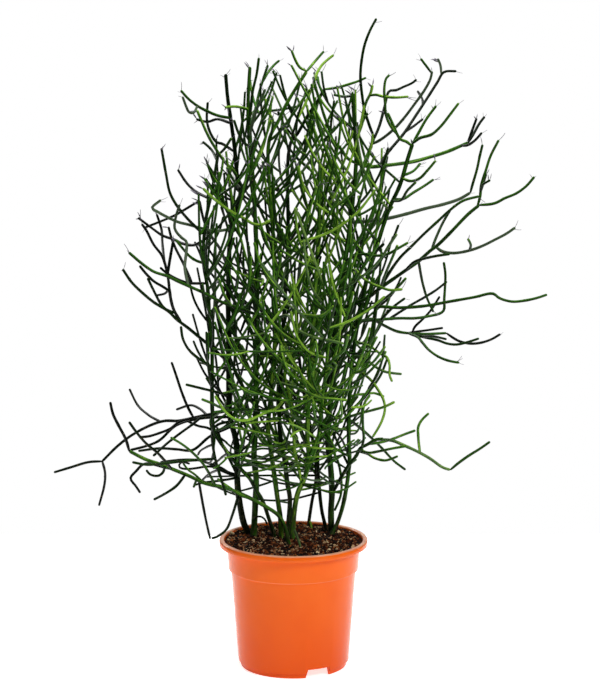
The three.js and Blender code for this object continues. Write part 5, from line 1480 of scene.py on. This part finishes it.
        size = node("VectorMath", inputs, operation="SCALE")
        inputs = {"Points": moved, "Selection": thick, "Instance": pad, "Rotation": turned, "Scale": size}
        scars = node("GeometryNodeInstanceOnPoints", inputs)
        inputs = {"Geometry": scars, "Name": "scar", "Value": 1.0}
        return node("GeometryNodeStoreNamedAttribute", inputs, data_type="FLOAT", domain="INSTANCE")


@dataclass
class TipLeaves:
    """The narrow leaves left at the ends of the young twigs.

    Leans, in radians, and scales are a least value and a spread. Chances are those of a tip low and high.
    """

    habit: Habit
    lowest_mm: float = 330.0
    topmost_mm: float = 560.0
    inner_mm: float = 540.0
    length_mm: float = 10.0
    width_mm: float = 1.9
    rise_mm: float = 1.6
    most: float = 2.6
    apart_mm: float = 2.0
    chances: Pair = (0.2, 1.0)
    leans: Pair = (0.3, 0.9)
    scales: Pair = (0.55, 0.6)
    seed: int = 9

    def make(self) -> None:
        """Make all the leaves as one piece."""
        points, aims, sizes, tones = self.places()
        blade = self.blade()
        source = point_mesh("leaf_places", points, [], {"size": sizes, "tone": tones, "aim": aims})
        values = {"Material": DryLeaflet().make(), "Blade": blade}
        seat(self.leaf_rule().run("tip_leaflets", source, values), "plant")
        bpy.data.objects.remove(blade)

    def places(self) -> Iterator[np.ndarray]:
        """Choose the tips that keep their leaves.

        Returns:
            The leaves' starts, directions, sizes and tones.
        """
        random = Draws(self.seed)
        low, high = (np.array(corner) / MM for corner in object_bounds())
        rows = []
        for branch in self.habit.branches:
            tip, before = branch.line[-1], branch.line[-3]
            chance = np.interp(tip[2], (self.lowest_mm, self.topmost_mm), self.chances)
            hidden = branch.stock not in (Stock.STEM, Stock.TWIG) and tip[2] < self.inner_mm
            if tip[2] < self.lowest_mm or random() > chance or hidden:
                continue
            ahead = (tip - before) / np.linalg.norm(tip - before)
            for k in range(1 + int(random() * self.most)):
                turn = 2 * math.pi * random()
                aside = np.cross([math.cos(turn), math.sin(turn), 0.0], ahead)
                aside /= np.linalg.norm(aside)
                lean = self.leans[0] + self.leans[1] * random()
                aim = ahead * math.cos(lean) + aside * math.sin(lean)
                start = tip - ahead * (1.2 + self.apart_mm * k)
                size = self.scales[0] + self.scales[1] * random()
                end = start + aim * self.length_mm * size * 1.05
                if (end >= low + 1).all() and (end <= high - 1).all():
                    rows.append((start, aim, size, random()))
        return map(np.array, zip(*rows))

    def blade(self) -> Object:
        """Return one curved leaf as a closed sliver, pointed at both ends, that runs along X.

        Returns:
            The leaf, which is not in the scene.
        """
        steps = 7
        built = bmesh.new()
        rings = []
        for share in np.linspace(0, 1, steps).tolist():
            half = self.width_mm / 2 * math.sin(math.pi * min(max(share, 0.06), 0.97)) ** 0.7
            x, z = self.length_mm * share, self.rise_mm * share * share
            corners = ((0, half, 0.1), (0, 0, 0.4), (0, -half, 0.1), (0, 0, -0.15))
            rings.append([built.verts.new((x * MM, y * MM, (z + up) * MM)) for _, y, up in corners])
        for a, b in zip(rings, rings[1:]):
            for k in range(4):
                built.faces.new((a[k], b[k], b[(k + 1) % 4], a[(k + 1) % 4]))
        built.faces.new(rings[0])
        built.faces.new(rings[-1][::-1])
        bmesh.ops.recalc_face_normals(built, faces=built.faces)
        data = meshed("leaf_blade", built)
        along = np.array([v.co.x / (self.length_mm * MM) for v in data.vertices], np.float32)
        data.attributes.new("along", "FLOAT", "POINT").data.foreach_set("value", along)
        return bpy.data.objects.new("leaf_blade", data)

    @staticmethod
    def leaf_rule() -> Rule:
        """Return the rule that sets a leaf at each place.

        Returns:
            The rule.
        """
        rule = Rule("tip_leaves", {"Blade": "Object"})
        node = rule.node
        blade = node("GeometryNodeObjectInfo", {"Object": rule.taken("Blade")}).outputs["Geometry"]
        aim = node("GeometryNodeInputNamedAttribute", {"Name": "aim"}, data_type="FLOAT_VECTOR")
        turned = node("FunctionNodeAlignRotationToVector", {"Vector": aim}, axis="X")
        size = node("GeometryNodeInputNamedAttribute", {"Name": "size"})
        inputs = {"Points": rule.taken("Geometry"), "Instance": blade, "Rotation": turned, "Scale": size}
        rule.end(node("GeometryNodeInstanceOnPoints", inputs))
        return rule

# Pot and soil


def turned_apart(one: float, other: float) -> float:
    """Return how far apart two directions are, in degrees."""
    return abs((one - other + 180) % 360 - 180)


def filleted(profile: Sequence[Triple]) -> list[Pair]:
    """Round the corners of an outline.

    Args:
        profile: The corners, each with the radius that it is rounded to.

    Returns:
        The outline's points.
    """
    steps = 4
    points = []
    for i, (x, z, radius) in enumerate(profile):
        here = Vector((x, z))
        if radius <= 0 or i in (0, len(profile) - 1):
            points.append((x, z))
            continue
        back, on = Vector(profile[i - 1][:2]) - here, Vector(profile[i + 1][:2]) - here
        half = back.angle(on) / 2
        cut = min(radius / math.tan(half), back.length * 0.49, on.length * 0.49)
        start, end = here + back.normalized() * cut, here + on.normalized() * cut
        for k in range(steps + 1):
            share = k / steps
            bend = start.lerp(here, share).lerp(here.lerp(end, share), share)
            points.append((bend.x, bend.y))
    return points


@dataclass
class Pot:
    """The tapered pot: rolled rim, collar, plain wall, foot ring with its notches, and the drained floor."""

    height: float = 148.0
    rim_radius: float = 85.0
    rim_width: float = 5.5
    rim_depth: float = 7.0
    collar_top: float = 76.3
    collar_foot: float = 74.6
    collar_z: float = 113.5
    body_top: float = 71.8
    body_foot: float = 63.9
    step_z: float = 5.6
    foot_radius: float = 61.0
    foot_wall: float = 2.0
    wall: float = 1.2
    floor_z: float = 12.0
    floor_thickness: float = 1.4
    segments: int = 192
    notches: int = 3
    notch_azimuth: float = -62.5
    notch_foot: float = 30.0
    notch_top: float = 26.0
    notch_height: float = 10.5
    drains: int = 6
    drain_radius: float = 4.5
    drain_ring: float = 36.0
    drill_depth: float = 8.0
    merge_m: float = 1e-6

    def make(self) -> None:
        """Make the pot as one closed mesh."""
        built = bmesh.new()
        profile = self.profile()
        columns = [[self.corner(built, point, turn) for point in profile[1:-1]] for turn in self.azimuths()]
        poles = [built.verts.new((0, 0, z * MM)) for _, z in (profile[0], profile[-1])]
        for a, b in zip(columns, columns[1:] + columns[:1]):
            for k in range(len(a) - 1):
                built.faces.new((a[k], b[k], b[k + 1], a[k + 1]))
            built.faces.new((poles[0], b[0], a[0]))
            built.faces.new((poles[1], a[-1], b[-1]))
        bmesh.ops.remove_doubles(built, verts=built.verts, dist=self.merge_m)
        bmesh.ops.dissolve_degenerate(built, edges=built.edges, dist=self.merge_m / 10)
        bmesh.ops.recalc_face_normals(built, faces=built.faces)
        piece = in_scene("pot_shell", meshed("pot_blank", built))
        piece.data = self.drilled(piece)
        piece.data.materials.append(MouldedPolypropylene().make())
        seat(piece, "pot", "pot")

    def profile(self) -> list[Pair]:
        """Return the section from the floor's underside, round the foot, wall and rim, to its top side.

        Returns:
            The section's points (radius, height).
        """
        lip = self.rim_radius - self.rim_width
        rim_z = self.height - self.rim_depth
        top = self.floor_z + self.floor_thickness
        return filleted((
            (0, self.floor_z, 0),
            (self.foot_radius - self.foot_wall - 0.4, self.floor_z, 0.8),
            (self.foot_radius - self.foot_wall, 0, 0.5),
            (self.foot_radius, 0, 0.6),
            (self.foot_radius, self.step_z, 0.6),
            (self.body_foot, self.step_z + 0.4, 0.9),
            (self.body_top, self.collar_z - 0.6, 0.9),
            (self.collar_foot, self.collar_z, 1.0),
            (self.collar_top, rim_z - 0.3, 0.9),
            (self.rim_radius, rim_z, 1.3),
            (self.rim_radius, self.height, 2.0),
            (lip, self.height, 1.8),
            (lip - 0.6, rim_z, 2.0),
            (self.collar_top - self.wall, rim_z - 3, 1.0),
            (self.collar_foot - self.wall, self.collar_z + 1.5, 0.8),
            (self.body_top - self.wall, self.collar_z - 0.6, 0.8),
            (self.body_foot - self.wall + 0.1, top, 2.2),
            (0, top, 0),
        ))

    def azimuths(self) -> list[float]:
        """Return the angles of the mesh's columns, with one at each corner of each notch.

        Returns:
            The angles in degrees, in order.
        """
        angles = list(np.linspace(0, 360, self.segments, endpoint=False))
        for i in range(self.notches):
            middle = (self.notch_azimuth + 360 / self.notches * i) % 360
            widths = (self.notch_foot, self.notch_top)
            halves = [math.degrees(math.asin(width / 2 / self.foot_radius)) for width in widths]
            corners = [(middle + sign * half) % 360 for sign in (-1, 1) for half in halves]
            angles = [a for a in angles if min(turned_apart(a, corner) for corner in corners) > 0.6]
            angles += corners
        return sorted(angles)

    def lowest(self, azimuth: float) -> float:
        """Return how high the wall starts at an angle, which is above the ground in a notch.

        Args:
            azimuth: The angle in degrees.

        Returns:
            The height.
        """
        middles = (self.notch_azimuth + 360 / self.notches * i for i in range(self.notches))
        away = min(turned_apart(azimuth, middle) for middle in middles)
        half = self.foot_radius * math.sin(math.radians(away))
        side = (self.notch_foot - self.notch_top) / 2
        return self.notch_height * min(max((self.notch_foot / 2 - half) / side, 0), 1)

    def corner(self, built: BMesh, point: Pair, azimuth: float) -> BMVert:
        """Add the corner that a point of the section has at an angle, lifted to the wall above a notch.

        Args:
            built: The mesh work.
            point: The point (radius, height).
            azimuth: The angle in degrees.

        Returns:
            The corner.
        """
        radius, z = point
        lowest = self.lowest(azimuth)
        if z < lowest:
            outside = radius > self.foot_radius - self.foot_wall / 2
            z = lowest
            if outside and z > self.step_z:
                climb = (z - self.step_z) / (self.collar_z - self.step_z)
                radius = self.body_foot + (self.body_top - self.body_foot) * climb
            elif not outside:
                radius = self.foot_radius - self.foot_wall - 0.35
        turn = math.radians(azimuth)
        return built.verts.new((radius * math.cos(turn) * MM, radius * math.sin(turn) * MM, z * MM))

    def drilled(self, piece: Object) -> Mesh:
        """Return the pot's mesh with the drain holes through its floor.

        Args:
            piece: The pot without its holes.

        Returns:
            The new mesh, shaded smooth but for its sharp edges.
        """
        drill = bmesh.new()
        for i in range(self.drains):
            turn = 2 * math.pi * i / self.drains
            place = Vector((math.cos(turn), math.sin(turn), 0)) * self.drain_ring * MM
            place.z = (self.floor_z + self.floor_thickness / 2) * MM
            matrix, radius, depth = Matrix.Translation(place), self.drain_radius * MM, self.drill_depth * MM
            sizes = {"radius1": radius, "radius2": radius, "depth": depth}
            bmesh.ops.create_cone(drill, cap_ends=True, segments=32, matrix=matrix, **sizes)
        tool = in_scene("drills", meshed("drills", drill))
        cut = piece.modifiers.new("drains", "BOOLEAN")
        cut.operation, cut.solver, cut.object = "DIFFERENCE", "EXACT", tool
        graph = bpy.context.evaluated_depsgraph_get()
        holed = bpy.data.meshes.new_from_object(piece.evaluated_get(graph), depsgraph=graph)
        piece.modifiers.clear()
        bpy.data.objects.remove(tool)
        built = bmesh.new()
        built.from_mesh(holed)
        return meshed("pot_shell", built, crease_deg=40)


@dataclass
class Soil:
    """The heaped soil: a closed plug with a crumbly top, strewn with bark, crumbs and fibres.

    Each row of strewn has a name, the number on a square centimetre, the least and the most size (x, y, z) in
    millimetres, the tilt in radians, the cuts along and across, and how strongly the tones lean to dark.
    """

    pot: Pot
    edge_z: float = 145.0
    dip: float = 2.0
    gap: float = 0.35
    rings: int = 64
    spokes: int = 200
    seed: int = 4
    roughness: float = 1.7
    strewn: tuple[tuple[str, float, Triple, Triple, float, int, float], ...] = (
        ("bark_flakes", 4.6, (1.3, 0.6, 0.3), (4.4, 1.6, 0.7), 0.7, 3, 1.5),
        ("peat_crumbs", 7.0, (0.6, 0.5, 0.45), (2.6, 2.0, 1.6), 3.1, 2, 3.2),
        ("coir_fibres", 6.0, (1.4, 0.24, 0.18), (5.2, 0.6, 0.36), 0.4, 2, 0.5),
    )

    def make(self) -> None:
        """Make the plug and what is strewn on it."""
        plug = in_scene("soil_plug", self.plug())
        plug.data.materials.append(Peat().make())
        seat(plug, "soil", "soil")
        bark, rule, top = Bark().make(), self.strewing_rule(), self.top_only()
        for i, (name, per_cm2, least, most, tilt, cuts, darkness) in enumerate(self.strewn):
            values = {
                "Material": bark,
                "Density": per_cm2 * 1e4,
                "Least": tuple(v * MM for v in least),
                "Most": tuple(v * MM for v in most),
                "Tilt": tilt,
                "Roughness": self.roughness * least[1] * MM,
                "Seed": self.seed + i,
                "Cuts": cuts,
                "Darkness": darkness,
            }
            seat(rule.run(name, top, values), "soil")

    def radius(self, z: float) -> float:
        """Return the radius of the pot's inside at a height, less the gap.

        Args:
            z: The height.

        Returns:
            The radius.
        """
        pot = self.pot
        low, high = pot.floor_z + pot.floor_thickness + 1, pot.collar_z - 0.6
        share = (z - low) / (high - low)
        body = pot.body_foot - pot.wall + 0.2 + (pot.body_top - pot.body_foot - 0.2) * share
        rim = pot.rim_radius - pot.rim_width - 0.6
        upper = pot.collar_foot - pot.wall if z < pot.height - pot.rim_depth else rim
        return (body if z < pot.collar_z else upper) - self.gap

    def ring(self, radius: float, height: Callable[[float, float], float]) -> list[Vector]:
        """Return a ring of points.

        Args:
            radius: Its radius.
            height: What gives the height at a place.

        Returns:
            The points in metres.
        """
        turns = (2 * math.pi * k / self.spokes for k in range(self.spokes))
        flat = [(radius * math.cos(turn), radius * math.sin(turn)) for turn in turns]
        return [Vector((x, y, height(x, y))) * MM for x, y in flat]

    def surface(self, x: float, y: float) -> float:
        """Return the height of the top: the heap, as its solid has it, with its crumbs and a pit.

        Args:
            x: How far across.
            y: How deep.

        Returns:
            The height.
        """
        radius = math.hypot(x, y) / self.pot.collar_top
        lumps = 0.9 * math.sin(x * 0.21 + 1.3) * math.cos(y * 0.17 - 0.4)
        lumps += 0.6 * math.sin(x * 0.43 - y * 0.31 + 2.1)
        lumps += 0.4 * math.sin(y * 0.52 + 0.6)
        hollow = 3.5 * math.exp(-((x - 20) ** 2 + (y - 8) ** 2) / 90)
        heap = self.edge_z - self.dip * (1 - radius * radius) + lumps - hollow
        place = Vector((x, y, 0))
        pit = 2.5 * math.exp(-((x - 14) ** 2 / 190 + (y + 2) ** 2 / 110))
        return heap + 1.5 * noise.noise(place / 7) + 0.7 * noise.noise(place / 2.2) - pit

    def top_rings(self) -> list[list[Vector]]:
        """Return the rings of the crumbly top, from its edge inwards."""
        edge = self.radius(self.edge_z)
        return [self.ring(edge * (1 - i / self.rings), self.surface) for i in range(self.rings)]

    def plug(self) -> Mesh:
        """Return the closed plug: floor, sides and crumbly top.

        Returns:
            The mesh.
        """
        floor = self.pot.floor_z + self.pot.floor_thickness + self.gap
        rim_z = self.pot.height - self.pot.rim_depth
        levels = (floor, floor + 2, self.pot.collar_z - 2, self.pot.collar_z + 4, rim_z - 3, rim_z + 0.5)
        drawn_in = (2.2, 0.2, 0.2, 0.2, 0.1, 0.3)
        sides = [self.ring(self.radius(z) - less, lambda x, y, z=z: z) for z, less in zip(levels, drawn_in)]
        built = bmesh.new()
        rings = [[built.verts.new(point) for point in ring] for ring in sides + self.top_rings()]
        self.bridge(built, rings)
        built.faces.new(rings[0][::-1])
        middle = built.verts.new(Vector((0, 0, self.surface(0, 0))) * MM)
        for k in range(self.spokes):
            built.faces.new((rings[-1][k], rings[-1][(k + 1) % self.spokes], middle))
        return meshed("soil_plug", built, crease_deg=60)

    def top_only(self) -> Mesh:
        """Make the top alone, a little inside the pot, for things to be strewn on.

        Returns:
            The mesh.
        """
        built = bmesh.new()
        self.bridge(built, [[built.verts.new(point) for point in ring] for ring in self.top_rings()[2:]])
        return meshed("soil_top", built)

    @staticmethod
    def bridge(built: BMesh, rings: list[list[BMVert]]) -> None:
        """Join each ring to the next by faces.

        Args:
            built: The mesh work.
            rings: The rings, all of as many corners.
        """
        for a, b in zip(rings, rings[1:]):
            for k in range(len(a)):
                on = (k + 1) % len(a)
                built.faces.new((a[k], a[on], b[on], b[k]))

    @staticmethod
    def strewing_rule() -> Rule:
        """Return the rule that strews rough little solids over a surface.

        Returns:
            The rule.
        """
        kinds = {"Least": "Vector", "Most": "Vector", "Seed": "Int", "Cuts": "Int"}
        sizes = ("Density", "Tilt", "Roughness", "Darkness")
        rule = Rule("strewn_solids", {**kinds, **dict.fromkeys(sizes, "Float")})
        node = rule.node
        seed, tilt, cuts = (rule.taken(each) for each in ("Seed", "Tilt", "Cuts"))
        inputs = {"Mesh": rule.taken("Geometry"), "Density": rule.taken("Density"), "Seed": seed}
        points = node("GeometryNodeDistributePointsOnFaces", inputs, distribute_method="RANDOM")
        lean = node("Math", {0: tilt, 1: -1.0}, operation="MULTIPLY")
        low = node("CombineXYZ", {"X": lean, "Y": lean})
        high = node("CombineXYZ", {"X": tilt, "Y": tilt, "Z": 2 * math.pi})
        inputs = {"Min": low, "Max": high, "Seed": seed}
        turned = node("FunctionNodeRandomValue", inputs, data_type="FLOAT_VECTOR")
        second, third = (node("Math", {0: seed, 1: on}, operation="ADD") for on in (17.0, 31.0))
        inputs = {"Min": rule.taken("Least"), "Max": rule.taken("Most"), "Seed": second}
        size = node("FunctionNodeRandomValue", inputs, data_type="FLOAT_VECTOR")
        inputs = {"Size": (2, 2, 2), "Vertices X": cuts, "Vertices Y": cuts, "Vertices Z": 2}
        block = node("GeometryNodeMeshCube", inputs)
        inputs = {"Points": points, "Instance": block, "Rotation": turned, "Scale": size}
        strewn = node("GeometryNodeInstanceOnPoints", inputs)
        tone = node("FunctionNodeRandomValue", {"Min": 0.0, "Max": 1.0, "Seed": third})
        tone = node("Math", {0: tone, 1: rule.taken("Darkness")}, operation="POWER")
        inputs = {"Geometry": strewn, "Name": "tone", "Value": tone}
        strewn = node("GeometryNodeStoreNamedAttribute", inputs, data_type="FLOAT", domain="INSTANCE")
        real = node("GeometryNodeRealizeInstances", {0: strewn})
        lump_mm = 2.4
        inputs = {"Vector": node("GeometryNodeInputPosition"), "Scale": 1 / (lump_mm * MM), "Detail": 1.0}
        rough = node("TexNoise", inputs).outputs["Color"]
        shift = node("VectorMath", {0: rough, 1: (0.5, 0.5, 0.5)}, operation="SUBTRACT")
        offset = node("VectorMath", {"Vector": shift, "Scale": rule.taken("Roughness")}, operation="SCALE")
        rule.end(node("GeometryNodeSetPosition", {"Geometry": real, "Offset": offset}), smooth=False)
        return rule

# Studio


@dataclass(frozen=True)
class Softbox:
    """A soft lamp: where it hangs, what it faces, its width and height in metres, and its power in watts."""

    name: str
    place: Triple
    aim: Triple
    size: Pair
    power: float

    def make(self) -> None:
        """Hang the lamp."""
        lamp = bpy.data.lights.new(self.name, "AREA")
        lamp.shape = "RECTANGLE"
        lamp.size, lamp.size_y = self.size
        lamp.energy = self.power
        holder = in_scene(self.name, lamp)
        holder.location = self.place
        aim = Vector(self.aim) - Vector(self.place)
        holder.rotation_euler = aim.to_track_quat("-Z", "Y").to_euler()


@dataclass
class Studio:
    """The white floor, the soft lamps, the pale surround and the camera."""

    eye: Eye
    pitch_deg: float = 9.26
    focal_px: float = 2241.0
    frame_px: int = 683
    sensor_mm: float = 36.0
    floor_m: float = 1.2
    surround: float = 1.0
    fill: float = 0.07
    lamps: tuple[Softbox, ...] = (
        Softbox("key_right", (1.5, -1.85, 2.0), (0, 0, 0.3), (0.7, 0.7), 45.0),
        Softbox("sheet_left", (-1.9, -0.2, 0.7), (0, 0, 0.3), (1.6, 1.8), 5.0),
        Softbox("rear_left", (-1.3, 1.9, 1.5), (0, 0, 0.35), (0.8, 0.8), 22.0),
        Softbox("overhead", (0.1, 0.2, 2.6), (0, 0, 0.3), (1.6, 1.6), 42.0),
    )

    def make(self) -> None:
        """Set up the studio."""
        self.floor()
        self.world()
        for lamp in self.lamps:
            lamp.make()
        self.camera()
        bpy.context.scene.view_settings.view_transform = "Standard"

    def floor(self) -> None:
        """Lay the floor."""
        half = self.floor_m / 2
        data = bpy.data.meshes.new("floor")
        corners = [(-half, -half, 0), (half, -half, 0), (half, half, 0), (-half, half, 0)]
        data.from_pydata(corners, [], [(0, 1, 2, 3)])
        floor = in_scene("floor", data)
        data.materials.append(PaperSweep().make())
        floor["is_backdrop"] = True

    def world(self) -> None:
        """Make the surround: white to look at, bright behind and above for the gloss, and dim as a light.

        Rounded edges turn pale and upper sides take a sheen, fronts keep their colour, and the dim light
        leaves the twigs their depth.
        """
        world = bpy.data.worlds.new("pale_surround")
        bpy.context.scene.world = world
        world.use_nodes = True
        world.node_tree.nodes.clear()
        node = partial(add, world.node_tree)
        path = node("LightPath")
        way = node("SeparateXYZ", {0: node("TexCoord").outputs["Generated"]})
        behind = node("MapRange", {0: way.outputs["Y"], 1: 0.86, 2: 0.95, 3: self.fill, 4: 0.8})
        above = node("MapRange", {0: way.outputs["Z"], 1: 0.45, 2: 0.8, 3: 0.0, 4: 1.4})
        glossy = node("Math", {0: behind, 1: above}, operation="ADD")
        lit = node("Mix", {0: path.outputs["Is Glossy Ray"], 1: self.fill, 2: glossy})
        strength = node("Mix", {0: path.outputs["Is Camera Ray"], 1: lit, 2: self.surround})
        light = node("Background", {"Color": (1, 1, 1, 1), "Strength": strength})
        node("OutputWorld", {"Surface": light})

    def camera(self) -> None:
        """Set the camera at the eye, pitched down a little, with the photo's field of view."""
        lens = bpy.data.cameras.new("portrait")
        lens.sensor_width = self.sensor_mm
        lens.lens = self.focal_px * self.sensor_mm / self.frame_px
        lens.clip_end = 60
        camera = in_scene("portrait", lens)
        camera.location = Vector((self.eye.across, self.eye.depth, self.eye.up)) * MM
        camera.rotation_euler = (math.radians(90 - self.pitch_deg), 0, 0)
        bpy.context.scene.camera = camera


def main() -> None:
    """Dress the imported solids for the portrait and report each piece."""
    logging.basicConfig(level=logging.INFO, format="%(name)s: %(message)s")
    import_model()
    habit = Habit()
    habit.grow()
    habit.fill()
    LOG.info("the plant has %d branches", len(habit.branches))
    Studio(habit.eye).make()
    pot = Pot()
    pot.make()
    Soil(pot).make()
    Plant(habit).make()
    TipLeaves(habit).make()


if __name__ == "__main__":
    main()
